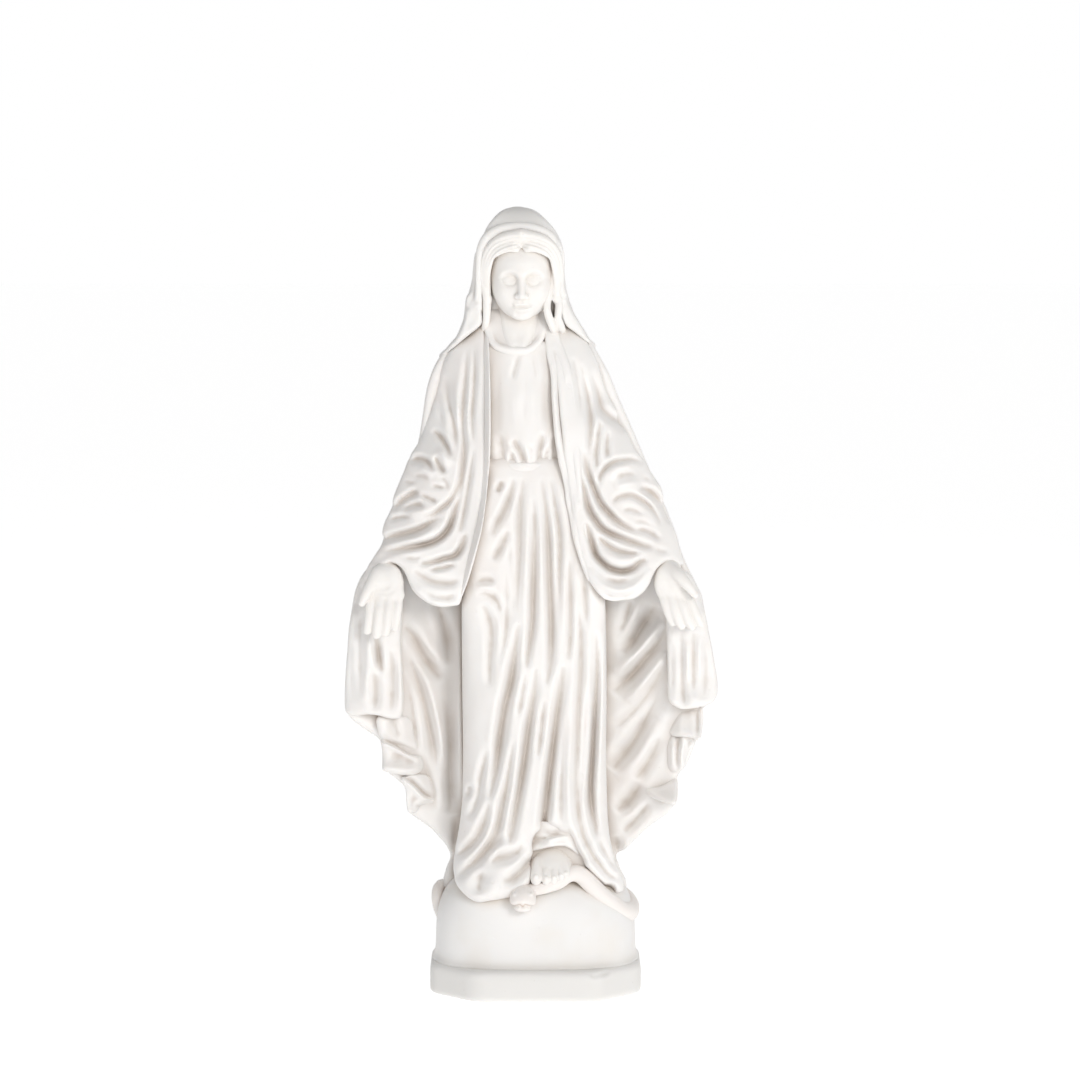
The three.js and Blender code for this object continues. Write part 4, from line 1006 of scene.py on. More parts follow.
SLEEVE_LEFT_FOLDS = [
    # down from the shoulder
    groove(1.6, 0.8, (-25.6, 247), (-27, 232), (-28, 219), (-27.4, 208), (-28, 198),
           (-29, 188), (-30.5, 178)),
    groove(1.0, 0.6, (-23.5, 247), (-23.4, 238), (-23.8, 229), (-24.4, 220), (-24.2, 210)),
    groove(1.2, 0.7, (-24.3, 209), (-25.5, 197), (-27.4, 185), (-29, 175)),
    groove(1.5, 1.1, (-34.3, 236), (-33.3, 226), (-31.3, 218.5), (-30.2, 212), (-30, 203)),
    groove(0.7, 0.9, (-37, 231), (-36, 223), (-34.6, 216)),
    # upper arm
    groove(1.4, 0.8, (-39.5, 215.5), (-36.2, 212.6), (-34, 209), (-32, 204.5)),
    groove(1.5, 0.8, (-48.5, 203), (-45, 204.2), (-41.3, 203), (-38.6, 199.5)),
    groove(1.3, 0.7, (-38.8, 205.5), (-37, 202), (-34.6, 198.6)),
    groove(0.6, 0.5, (-39.8, 194.2), (-37, 193.5), (-34.3, 193.1)),
    groove(0.7, 0.6, (-45, 191), (-40.5, 189), (-37.5, 187.6)),
    groove(0.4, 0.6, (-46.5, 197.5), (-43.5, 197.8), (-40.5, 196.3)),
    groove(0.4, 0.6, (-36.6, 197.8), (-34.6, 195.6), (-33.4, 192)),
    groove(0.35, 0.6, (-50.6, 196.4), (-48.2, 195.2), (-45.6, 195)),
    ridge(0.6, 1.0, (-45, 201), (-41.5, 200), (-39, 197.5)),
    ridge(0.6, 1.0, (-37, 208.5), (-35, 205.5), (-33, 201.5)),
    # elbow
    groove(1.6, 0.8, (-55, 184.5), (-51, 188), (-47, 190.7), (-44.5, 192)),
    groove(1.0, 0.7, (-52.5, 184.6), (-47, 186.6), (-42.5, 186.4)),
    groove(1.3, 0.6, (-46.5, 179.3), (-40, 182.5), (-35, 186), (-31.6, 189.5), (-29.4, 195),
           (-28.4, 201)),
    groove(0.7, 0.6, (-56.4, 180.6), (-52, 181.8), (-47.6, 182.2)),
    ridge(0.6, 0.9, (-50, 183), (-45, 183.6), (-40, 185.2)),
    # forearm
    groove(1.7, 0.8, (-60, 172), (-56, 174), (-48, 176), (-44, 177.5), (-40, 180),
           (-35.6, 183.5)),
    groove(2.4, 0.7, (-59.5, 168.2), (-52, 169.5), (-47, 170.4), (-42, 171.4), (-38, 172.9),
           (-35, 175.3), (-33, 178.2), (-31.6, 181.8), (-30.2, 187), (-29, 193)),
    groove(2.0, 0.7, (-45, 164.3), (-40, 164.3), (-35, 165.8), (-31, 167), (-28.4, 170.4),
           (-26.8, 176)),
    groove(1.3, 0.6, (-41.5, 161.8), (-36, 162.3), (-30.5, 164)),
    groove(1.0, 0.9, (-47, 161.5), (-43, 158.8), (-39, 157), (-33, 156.4), (-29, 157.6)),
    groove(0.4, 0.6, (-51.5, 166.6), (-46, 165.9), (-42, 166.6)),
    groove(0.4, 0.7, (-60.5, 165.4), (-57, 167), (-53.5, 167)),
    groove(0.3, 0.7, (-63.2, 163.5), (-61.4, 164.8), (-59, 165.4)),
    groove(0.5, 0.8, (-44, 153.6), (-39.5, 151), (-34, 150.6), (-30, 152)),
    ridge(0.6, 0.9, (-52, 172.4), (-46, 173.5), (-40.5, 175.7), (-37, 178.4)),
    ridge(0.6, 1.0, (-48, 155.7), (-43.7, 152.6), (-39, 149.8), (-34, 149)),
]

SLEEVE_RIGHT = [
    (6.8, 256), (10, 256), (14, 254.5), (19.5, 249.5), (23.5, 242.5), (25.3, 237),
    (27.3, 231), (30.3, 225), (33.3, 218.5), (36, 213), (38.6, 207.5), (41.6, 204),
    (44, 200), (46, 196.8), (48, 193.8), (49.2, 190), (50.2, 186), (52, 180), (54, 175.8),
    (55.2, 171), (56.4, 167), (57, 163.5), (54.5, 163), (52, 164.3), (49.5, 164), (47, 162),
    (45, 159), (43.6, 155.5), (41, 152.2), (38, 150.2), (35, 149.5), (30, 149),
    (26.2, 150), (24, 152), (22, 154.6), (19.8, 158.4), (18, 164), (15.8, 171.5),
    (14.4, 179), (13, 188), (11.8, 196), (10.6, 205), (9.8, 214), (9, 221),
    (8.4, 228), (7.6, 235), (6.6, 241), (5.6, 248),
]
SLEEVE_RIGHT_FRONT = [
    (9, 254, -7), (14, 252, -7), (20, 245, -8), (14, 238, -14), (19, 236, -12.5),
    (26, 230, -6), (17, 222, -17.5), (24, 218, -16), (32, 217, -10), (18, 204, -20.5),
    (24, 203, -19.5), (32, 204, -18), (40, 203, -12), (19.5, 188, -23), (26, 188, -22),
    (34, 188, -21.5), (47, 188, -15), (21, 171, -25.5), (28, 172, -25), (37, 173, -24),
    (51, 175, -19), (23, 155, -28), (33, 153, -28), (41, 157, -27), (48, 164, -25),
    (55.5, 166, -20),
]
SLEEVE_RIGHT_BACK = [
    (16, 250, 4), (28, 228, 4), (38, 206, 2), (47, 188, -1), (55, 168, -8),
    (24, 156, -15), (34, 152, -15), (23, 188, -6), (46, 164, -13),
]
SLEEVE_RIGHT_FOLDS = [
    # down from the shoulder
    groove(1.4, 0.8, (17.2, 241), (18, 236), (19.5, 229.5), (20.5, 224), (21, 219),
           (21, 212), (20.8, 205), (21.2, 199)),
    groove(0.8, 0.7, (14.4, 243), (16, 235), (17.2, 228), (18.2, 220)),
    groove(1.6, 1.1, (21, 238), (23.7, 229), (25, 224), (28, 220.8), (32, 218), (35, 215)),
    groove(1.3, 0.7, (25.2, 220), (24, 215), (23.4, 210), (23, 205), (23.6, 199.5)),
    groove(0.8, 0.8, (27.8, 215), (27.2, 209), (27.8, 204)),
    # upper arm
    groove(1.2, 0.6, (23.6, 192), (24.7, 197.5), (27, 201), (30, 203), (33, 203.7), (37, 204),
           (41.5, 202.6)),
    groove(1.1, 0.6, (29.5, 187), (31.2, 189.2), (34, 190.2), (37, 190.2), (40, 188.7),
           (43.5, 186.2), (46.5, 182.6), (48.6, 178.4)),
    groove(0.35, 0.7, (31, 197), (34.5, 198.5), (38.5, 198)),
    ridge(0.7, 1.0, (27.5, 196.5), (31.5, 200.3), (36.5, 201.5)),
    groove(0.35, 0.7, (41, 197.5), (43.6, 195.6), (46, 192.6)),
    # elbow
    groove(1.5, 0.9, (39.5, 193.3), (43, 192.2), (46.5, 189), (49, 185), (51.3, 179.5)),
    ridge(0.6, 1.0, (30.5, 193.5), (35, 194.7), (40, 195.3)),
    groove(2.0, 0.7, (18.6, 209), (19.2, 203), (20.2, 198.5), (21.6, 194.5), (23, 191),
           (25, 187), (28, 183.5), (31, 180.5), (35, 178), (40, 176.4)),
    groove(0.45, 0.6, (33, 184.5), (37, 184.7), (41.5, 182.5)),
    groove(0.4, 0.6, (37.5, 180.6), (42, 179.6), (46.6, 176.4)),
    # forearm
    groove(2.1, 0.7, (17.2, 201), (18.1, 194.5), (19.2, 189), (20.4, 185), (22, 182),
           (24.5, 178.5), (26.7, 176.6), (30, 175), (35, 173), (41, 171), (46, 170.2)),
    groove(1.2, 0.6, (24, 175), (26, 172.3), (29, 170), (32, 168.7), (36, 168), (40, 168.2)),
    groove(2.4, 0.7, (19.2, 180), (20.2, 176), (21.5, 172), (23, 167.5), (26, 164), (29, 162),
           (33, 161), (37, 162), (40, 164.4), (43, 165.4)),
    groove(0.8, 0.7, (38, 177.5), (43, 176.5), (48, 173)),
    groove(0.35, 0.7, (45, 170.5), (48, 168.8), (51.5, 168.6)),
    groove(0.4, 0.7, (27, 158.2), (31.5, 157.2), (36, 158.6)),
    ridge(0.8, 0.9, (20.3, 162), (24, 157.2), (28, 154.4), (33, 153.4), (38, 155.2),
          (42, 159), (44.5, 161.5)),
    groove(0.8, 0.8, (24.5, 153), (29, 151.3), (34, 151.2), (39, 153)),
    ridge(0.6, 0.9, (25, 169), (29, 166.3), (33, 165), (38, 166)),
]


def make_sleeves():
    cloth("sleeve_left", (-69, -32, 144), (-16, 8, 259), SLEEVE_LEFT, SLEEVE_LEFT_FRONT,
          SLEEVE_LEFT_BACK, SLEEVE_LEFT_FOLDS, roll=3, back_roll=4)
    cloth("sleeve_right", (3, -32, 146), (60, 8, 259), SLEEVE_RIGHT, SLEEVE_RIGHT_FRONT,
          SLEEVE_RIGHT_BACK, SLEEVE_RIGHT_FOLDS, roll=3, back_roll=4)


# ---- bodice, belt, collar, neck --------------------------------------------------------

def make_bodice():
    outline = [
        (-18.5, 249), (-18.7, 225), (-18.5, 203), (-16, 201.7), (-12, 201.9), (-9, 202),
        (-5.5, 201.2), (-2, 200.9), (1.5, 202.2), (5, 200.9), (8, 201.2), (11, 202),
        (9.6, 212), (8.5, 225), (7, 237), (5, 249),
    ]
    front = [
        (-17, 245, -12), (-6.5, 246, -14), (3.5, 245, -12), (-17, 225, -14.5),
        (-6, 228, -18.5), (5.5, 225, -15), (-17, 206, -16.5), (-5, 207, -20.8), (9, 206, -16.5),
        (-16, 202, -15), (-4, 202, -19.4), (9, 202, -15),
    ]
    back = [(-18, 245, 3), (5, 245, 3), (-18, 205, 3), (9, 205, 3)]
    folds = [
        groove(1.5, 0.8, (-8.6, 212), (-6.8, 208.5), (-5, 205), (-3.6, 202)),
        groove(1.0, 0.7, (-9.6, 207.5), (-8.9, 204.5), (-8.6, 202)),
        groove(1.6, 0.8, (2.9, 214), (1.7, 208.5), (1.5, 205), (1.7, 202)),
        groove(1.2, 0.7, (4.9, 209), (4, 205), (3.4, 202)),
        groove(0.9, 0.9, (-13.6, 214), (-12.8, 208), (-12.4, 202.5)),
        groove(0.7, 0.8, (-1, 210), (-0.9, 206), (-1.4, 202)),
        groove(0.8, 0.8, (7.6, 213), (7, 207), (6.7, 202)),
        groove(0.4, 0.6, (-5.8, 245), (-7, 241.5), (-8.2, 237.5), (-8.8, 234)),
        groove(0.2, 0.6, (-1.2, 245), (-0.6, 241), (0, 237), (0.4, 233)),
        groove(0.2, 0.9, (-13.5, 242), (-14.2, 232), (-14.4, 220), (-14, 208)),
        groove(0.15, 0.9, (-3.6, 238), (-3.8, 228), (-4, 216)),
        groove(0.2, 0.8, (3.2, 238), (3.6, 228), (4.2, 218)),
        ridge(0.2, 1.4, (-7, 214), (-8.4, 222), (-9, 231)),
        ridge(0.2, 1.4, (0.2, 215), (-0.6, 224), (-1, 233)),
    ]
    cloth("bodice", (-22, -24, 198), (14, 7, 252), outline, front, back, folds, roll=3)


def make_belt():
    outline = [(-19, 202.5), (-18.5, 196.7), (-10, 197), (-2, 197), (6, 197.1), (12.5, 196.7),
               (11.5, 202.5)]
    front = [(-17, 200, -15.5), (-5, 200, -19.6), (10, 200, -15.5)]
    back = [(-17, 200, 2), (10, 200, 2)]
    folds = [
        groove(0.35, 0.6, (-17, 198.2), (-9, 198.3), (0, 198.1), (9, 198.4)),
        groove(0.4, 0.6, (-12, 201), (-10.5, 199), (-9.8, 197.5)),
        groove(0.3, 0.5, (3.4, 200.8), (4.2, 198.6)),
    ]
    cloth("belt", (-22, -23, 194), (15, 6, 206), outline, front, back, folds,
          roll=1.8, back_roll=2)


def make_collar_and_neck():
    block = Block((-24, -19, 240), (10, 9, 266), COARSE * 0.8)
    line = spots((-18.6, 257, -7, 1.0), (-17.6, 251.5, -10.4, 1.1), (-16.0, 248.2, -12.2, 1.2),
                 (-13, 246.4, -13.4, 1.25), (-8, 245.6, -14, 1.3), (-3, 245.9, -13.7, 1.25),
                 (-0.2, 247.6, -12.6, 1.2), (2.0, 250.5, -10.8, 1.1), (3.4, 257, -7, 1.0))
    band = limb(block, line)
    shoulders = sheet(block, [(-21, 260), (-18.5, 250), (-16.5, 246.5), (-13, 244.2), (-8, 243.4),
                              (-3, 243.8), (1, 246), (3.6, 250), (6.5, 260), (-7, 263)],
                      [(-18, 256, -9.5), (-17, 249, -11.4), (-8, 246, -14), (2.4, 249, -11.2),
                       (4, 256, -9), (-8, 252, -12)],
                      [(-18, 250, 3), (3, 250, 3)], roll=2)
    piece("collar", smin(band, shoulders, 1.0), block, "cast_plaster")

    block = Block((-22, -19, 240), (9, 12, 268), COARSE * 0.8)
    column = limb(block, [(-6.3, -1.0, 266, 8.4), (-6.4, -2, 259, 8.8), (-6.6, -2.6, 252, 9.9),
                          (-6.8, -2, 247, 10.9), (-6.8, -1.6, 243, 11)])
    for side in (-1, 1):
        cord = limb(block, [(-6.4 + 6.4 * side, -6, 262, 1.6), (-6.6 + 4 * side, -9.4, 253.5, 1.6),
                            (-6.7 + 1.6 * side, -13, 247, 1.4)])
        column = smin(column, cord, 3.0)
    notch = egg(block, (-6.7, -15.6, 247.2), (1.8, 1.6, 1.6))
    column = smax(column, -notch, 1.6)
    piece("neck", column, block, "skin_plaster")


# ---- head ------------------------------------------------------------------------------

class Tip:
    """Where a piece's own axes stand in the scene: bowed forwards, scaled and moved."""

    def __init__(self, spot, bow, scale):
        self.spot, self.scale = np.array(spot), scale
        c, s = math.cos(math.radians(bow)), math.sin(math.radians(bow))
        self.turn = np.array([(1, 0, 0), (0, c, -s), (0, s, c)])

    def out(self, points):
        return (points @ self.turn.T) * self.scale + self.spot

    def back(self, points):
        return ((points - self.spot) / self.scale) @ self.turn


HEAD = Tip((-5.2, -6.0, 274.6), 8.0, 1.09)


def in_head(*points):
    """Limb points seen at (u, v, y, radius), in the head's own axes."""
    seen = np.array(spots(*points))
    return [(*spot, r / HEAD.scale) for spot, r in zip(HEAD.back(seen[:, :3]), seen[:, 3])]


def both(points):
    return [points, mirrored(points)]


def make_head():
    block = Block((-12.5, -18.5, -16), (12.5, 14.5, 17), FINE)
    field = egg(block, (0, 0.8, 4.4), (11.3, 12.6, 11.2))
    field = smin(field, egg(block, (0, -3.0, -2.2), (10.7, 9.9, 11.2)), 4.0)
    field = smin(field, egg(block, (0, -6.6, -8.4), (6.8, 5.4, 5.0)), 4.0)
    field = smin(field, egg(block, (0, -10.2, -11.6), (3.0, 2.2, 2.1)), 3.0)
    field = smin(field, egg(block, (0, -7.4, 5.8), (7.4, 5.2, 5.0)), 4.0)
    for side in (-1, 1):
        field = smin(field, egg(block, (5.3 * side, -7.9, -3.8), (3.5, 3.8, 4.0)), 3.0)
        field = smax(field, -egg(block, (4.15 * side, -14.2, 0.9), (3.0, 3.4, 1.9)), 2.6)
    field = smin(field, limb(block, [(0, -11.9, 3.4, 1.0), (0, -12.8, 0.6, 0.95),
                                     (0, -14.1, -2.9, 1.1), (0, -14.7, -4.6, 1.25)]), 1.9)
    for side in (-1, 1):
        field = smin(field, egg(block, (1.5 * side, -13.5, -5.0), (1.05, 1.4, 0.95)), 0.6)
        field = smax(field, -egg(block, (0.8 * side, -14.3, -6.2), (0.45, 0.8, 0.4)), 0.3)
        field = smin(field, egg(block, (4.15 * side, -9.4, 0.1), (2.5, 2.15, 2.1)), 1.1)
    lid_rim = [(2.0, 0.0), (3.1, -0.8), (4.3, -1.0), (5.5, -0.6), (6.4, 0.2)]
    under_lid = [(1.9, -0.3), (3.1, -1.25), (4.3, -1.45), (5.5, -1.05), (6.5, -0.1)]
    lid_crease = [(1.8, 0.8), (3.0, 1.7), (4.3, 1.95), (5.7, 1.5), (6.8, 0.5)]
    brow = [(1.5, 3.0), (3.6, 3.8), (5.6, 3.5), (7.6, 2.1)]
    slit = [(-3.1, -8.5), (-1.6, -8.85), (-0.5, -8.7), (0, -8.9), (0.5, -8.7), (1.6, -8.85),
            (3.1, -8.5)]
    upper_lip = [(-2.4, -8.15), (-0.8, -7.7), (0, -7.95), (0.8, -7.7), (2.4, -8.15)]
    for lines, height, width in (
            (both(lid_rim), -0.2, 0.35), (both(under_lid), 0.4, 0.3),
            (both(lid_crease), 0.25, 0.35), (both(brow), -0.3, 0.9), ([slit], 0.8, 0.3),
            ([upper_lip], -0.5, 0.6), ([[(-1.9, -9.65), (0, -10.05), (1.9, -9.65)]], -0.7, 0.8),
            ([[(-1.5, -11.3), (1.5, -11.3)]], 0.5, 0.8), ([[(0, -6.7), (0, -7.2)]], 0.3, 0.4),
            (both([(2.3, -6.2), (3.6, -8.4)]), 0.15, 0.7)):
        field = field + height * drawn(block, lines, width)
    piece("head", field, block, "skin_plaster", tip=HEAD)


HAIRLINE = [
    (0, 11.2), (1.0, 10.2), (3.8, 9.9), (7.0, 9.1), (9.4, 7.0), (10.5, 2), (10.7, -3),
    (10.4, -9), (8.8, -17), (-8.8, -17), (-10.4, -9), (-10.7, -3), (-10.5, 2), (-9.4, 7.0),
    (-7.0, 9.1), (-3.8, 9.9), (-1.0, 10.2),
]


def make_hair():
    block = Block((-16, -19, -26), (17, 18, 19), FINE)
    plane = drawing_for(block, seen=False)
    face = lift(inside_distance(through(HAIRLINE, closed=True), plane), plane, block, seen=False)
    face = smax(face, block.Y + 3, 1.0)
    field = egg(block, (0, 0.4, 4.4), (13.2, 14.6, 13.2))
    for side in (-1, 1):
        field = smin(field, limb(block, [
            (3.0 * side, -11.4, 11.8, 1.6), (7.2 * side, -10.4, 10.2, 1.7),
            (10.4 * side, -8.2, 5.6, 1.7), (11.5 * side, -7.0, -1, 1.6),
            (11.6 * side, -6.6, -7, 1.5)]), 2.0)
        field = smin(field, limb(block, [
            (0.4 * side, -9.8, 15.4, 2.4), (3.6 * side, -9.6, 14.9, 2.4),
            (7.8 * side, -9.0, 13.2, 2.4), (11.4 * side, -7.8, 8.8, 2.2),
            (12.8 * side, -6.8, 2.0, 1.9), (12.6 * side, -6, -4, 1.6)]), 1.6)
    # the hair behind the neck, filling the hood
    field = smin(field, egg(block, (-0.5, 4.0, -9), (13.2, 10.5, 12.5)), 2.0)
    field = smax(field, -face, 0.7)
    locks = [
        in_head((-17.9, 286, -13, 1.3), (-18.6, 279, -13, 1.5), (-18.6, 271, -12.5, 1.6),
                (-18.5, 264, -12, 1.6), (-18.7, 257.5, -11.5, 1.4), (-19.4, 254, -8, 1.3)),
        in_head((7.0, 281, -13, 1.3), (7.0, 275, -12.5, 1.5), (5.9, 270, -12.5, 1.6),
                (4.7, 265.5, -13.5, 1.5), (4.4, 261.5, -14.5, 1.4), (5.2, 258.2, -14, 1.5),
                (6.6, 254.6, -11.6, 1.5), (7.4, 252.2, -7, 1.2)),
        in_head((8.0, 272, -11, 1.3), (8.7, 267, -11.5, 1.4), (8.9, 262, -12.5, 1.5),
                (8.6, 258.4, -12.4, 1.4), (9.8, 254.8, -10, 1.4),
                (10.6, 252.4, -5.5, 1.2)),
        in_head((4.2, 267, -11, 1.2), (2.2, 264, -11.5, 1.3), (0.4, 261, -11.8, 1.2)),
    ]
    for lock in locks:
        field = smin(field, limb(block, lock), 0.9)
    strands = [[(0, 10.8), (0.2, 13.5), (0, 16.5)]]
    for side in (-1, 1):
        for k in range(5):
            # strands leave the parting and fold down beside the face
            rise, spread = 11.0 + 1.15 * k, 10.6 + 0.62 * k
            strands.append([(0.5 * side, rise), (spread * 0.42 * side, rise - 0.9),
                            (spread * 0.78 * side, rise - 3.4), (spread * side, rise - 9),
                            (spread * 1.02 * side, rise - 17)])
    field = field + 0.4 * drawn(block, strands, 0.3)
    piece("hair", field, block, "skin_plaster", tip=HEAD)


# ---- veil ------------------------------------------------------------------------------

VEIL_OUTSIDE = [
    (246.5, -31, 21, 1, 17.6), (250, -30, 20.4, -2, 17.3),
    (257, -27.2, 16.2, -5, 17), (264, -26, 12.4, -8, 17), (272, -24, 10.9, -11, 17),
    (281, -22.7, 10.8, -13.2, 17), (287, -20.8, 9.7, -14, 16.5), (292, -18.8, 7.0, -13.8, 15),
    (296, -16, 3.4, -12, 12), (298.6, -13.2, 0.2, -9, 8.5), (299.9, -10.4, -3, -5.5, 4.6),
    (300.3, -8.4, -5.2, -2.6, 2),
]
VEIL_INSIDE = [
    (240, -22, 12.5, -60, 11), (250, -21, 11, -60, 11), (257, -20.6, 9.8, -60, 11),
    (272, -20.2, 8.8, -60, 11), (281, -19.4, 8.2, -60, 11), (287, -17.4, 6.2, -60, 9.5),
    (291.5, -13.5, 2.2, -60, 6), (294, -9, -3, -60, 2),
]


HULL_POWER = 2.3       # 2 would make every section an ellipse


def hull(block, sections, tunnel=False):
    """A rounded column through sections (z, x from, x to, y from, y to).

    A tunnel keeps its full width all the way to its open front.
    """
    s = through(sections, per_span=8)
    x0, x1, y0, y1 = (np.interp(block.Z, s[:, 0], s[:, k]) for k in (1, 2, 3, 4))
    a, b = (x1 - x0) / 2, (y1 - y0) / 2
    away = block.Y - (y0 + y1) / 2
    away = np.maximum(away, 0) if tunnel else np.abs(away)
    q = ((np.abs(block.X - (x0 + x1) / 2) / a) ** HULL_POWER
         + (away / b) ** HULL_POWER) ** (1 / HULL_POWER)
    side = (q - 1) * np.minimum(a, b)
    if tunnel:
        side = smax(side, y0 - block.Y, 2.0)
    return smax(smax(side, block.Z - s[-1, 0], 0.6), s[0, 0] - block.Z, 0.6)


def make_veil():
    block = Block((-40, -20, 233), (34, 21, 303), COARSE * 0.7)
    outer = hull(block, VEIL_OUTSIDE, tunnel=True)
    inner = hull(block, VEIL_INSIDE)
    field = smax(outer, -inner, 1.6)
    # the rolled edge round the face
    rim = limb(block, spots((-21.8, 262, -12, 1.5), (-22, 270, -13.4, 1.5),
                            (-21.6, 279, -14.4, 1.6), (-20.4, 285, -15, 1.8),
                            (-17.6, 289.3, -15.6, 2.1), (-12.6, 291.8, -16, 2.3),
                            (-5, 292.5, -16.2, 2.3), (2.2, 291, -16, 2.2),
                            (7.0, 287.6, -15.2, 1.8), (9.6, 282.5, -14.2, 1.4),
                            (9.8, 276, -13.6, 1.4), (9.4, 270.5, -13, 1.5),
                            (10.4, 266.5, -12.5, 1.5)))
    field = smin(field, rim, 1.2)
    # the falls on both shoulders
    left = sheet(
        block,
        [(-23.2, 283), (-24, 276), (-24.3, 271), (-25, 268.3), (-26.5, 266.3), (-27.1, 263),
         (-27.4, 258.5), (-28.7, 254.8), (-31, 250.3), (-34.2, 246.4), (-36.6, 243.4),
         (-34.5, 243.8), (-30.4, 247), (-25.4, 251.2), (-21.4, 254.4), (-20, 257),
         (-20.4, 263), (-20.4, 272), (-20.6, 281)],
        [(-22, 281, -14), (-22, 268, -13), (-26, 264, -12), (-21, 258, -12.5),
         (-27, 254, -11.5), (-31, 249, -9.5), (-36, 243.5, -3)],
        [(-22, 281, -10), (-22, 270, -9), (-25, 262, -5), (-30, 250, 2), (-36, 243.5, 5)],
        roll=2.4, back_roll=2)
    right = sheet(
        block,
        [(9, 283), (10.9, 277), (10.8, 271.5), (12, 267.5), (12.6, 264), (14.4, 260.2),
         (17, 256.2), (19.6, 251.7), (21.2, 249), (20.6, 247.8), (18.6, 249.2), (15, 252.2),
         (11.4, 255), (9.6, 258.5), (8.6, 263.5), (7.4, 268), (7.3, 273), (8, 280)],
        [(9.6, 281, -13.6), (9.4, 268, -13), (11, 262, -12), (12, 257, -11), (17, 253, -9),
         (22, 247.5, -5)],
        [(9.6, 281, -10), (10, 270, -9), (12, 262, -4), (19, 250, 4)],
        roll=2.4, back_roll=2)
    field = smin(smin(field, left, 1.0), right, 1.0)
    cuts = None
    for points in (
            [(-23.3, 281, -14), (-23.1, 275, -13.6), (-23.6, 269, -13), (-25.2, 263.6, -12)],
            [(-22.9, 263.6, -13.6), (-25.2, 262.4, -13), (-28, 261.5, -8)],
            [(-22.2, 262, -13.4), (-23.8, 258.8, -13.6), (-25.8, 254.8, -12)],
            [(-27.2, 262, -9), (-28.4, 256, -10), (-31.5, 250.5, -9)],
            [(9.2, 265, -14), (11.3, 263.6, -14), (13.3, 262.8, -12)],
            [(12.2, 262, -12), (13.4, 257.5, -12), (16.5, 253.5, -11), (21, 250, -9),
             (25, 245, -7)],
            [(8.6, 288, -16), (9.1, 282, -15.4), (8.8, 276, -15), (8.4, 271, -14.6)],
            [(-12.5, 289.9, -16.6), (-6, 290.6, -16.9), (0, 289.8, -16.6), (4, 288.4, -16)],
            [(-19, 291.4, -13.6), (-13, 294.9, -15), (-5, 295.8, -15), (3, 294, -14.4),
             (8.4, 289.6, -12.6)],
    ):
        line = limb(block, [(*at(*p), 0.0) for p in points])
        cuts = line if cuts is None else np.minimum(cuts, line)
    field = field + 1.5 * np.exp(-cuts / 0.75)
    # long folds over the back of the head
    x = block.X + 6.2
    drop = np.clip((292 - block.Z) / 30, 0, 1)
    behind = step_up(block.Y, -6, 8)
    field = field + behind * drop * 0.8 * np.cos(x * (0.62 - 0.1 * drop))
    piece("veil", field, block, "veil_plaster")


# ---- hands -----------------------------------------------------------------------------

def make_hand(name, block, wrist, palm, fingers, thumb, creases):
    field = limb(block, spots(*wrist))
    for centre, radii, turn in palm:
        field = smin(field, egg(block, at(*centre), radii, turn=turn), 2.2)
    for points in fingers:
        field = smin(field, limb(block, spots(*points)), 0.8)
    field = smin(field, limb(block, spots(*thumb)), 1.3)
    cuts = None
    for points in creases:
        line = limb(block, [(*at(*p), 0.0) for p in points])
        cuts = line if cuts is None else np.minimum(cuts, line)
    field = field + 0.8 * np.exp(-cuts / 0.4)
    piece(name, field, block, "skin_plaster")


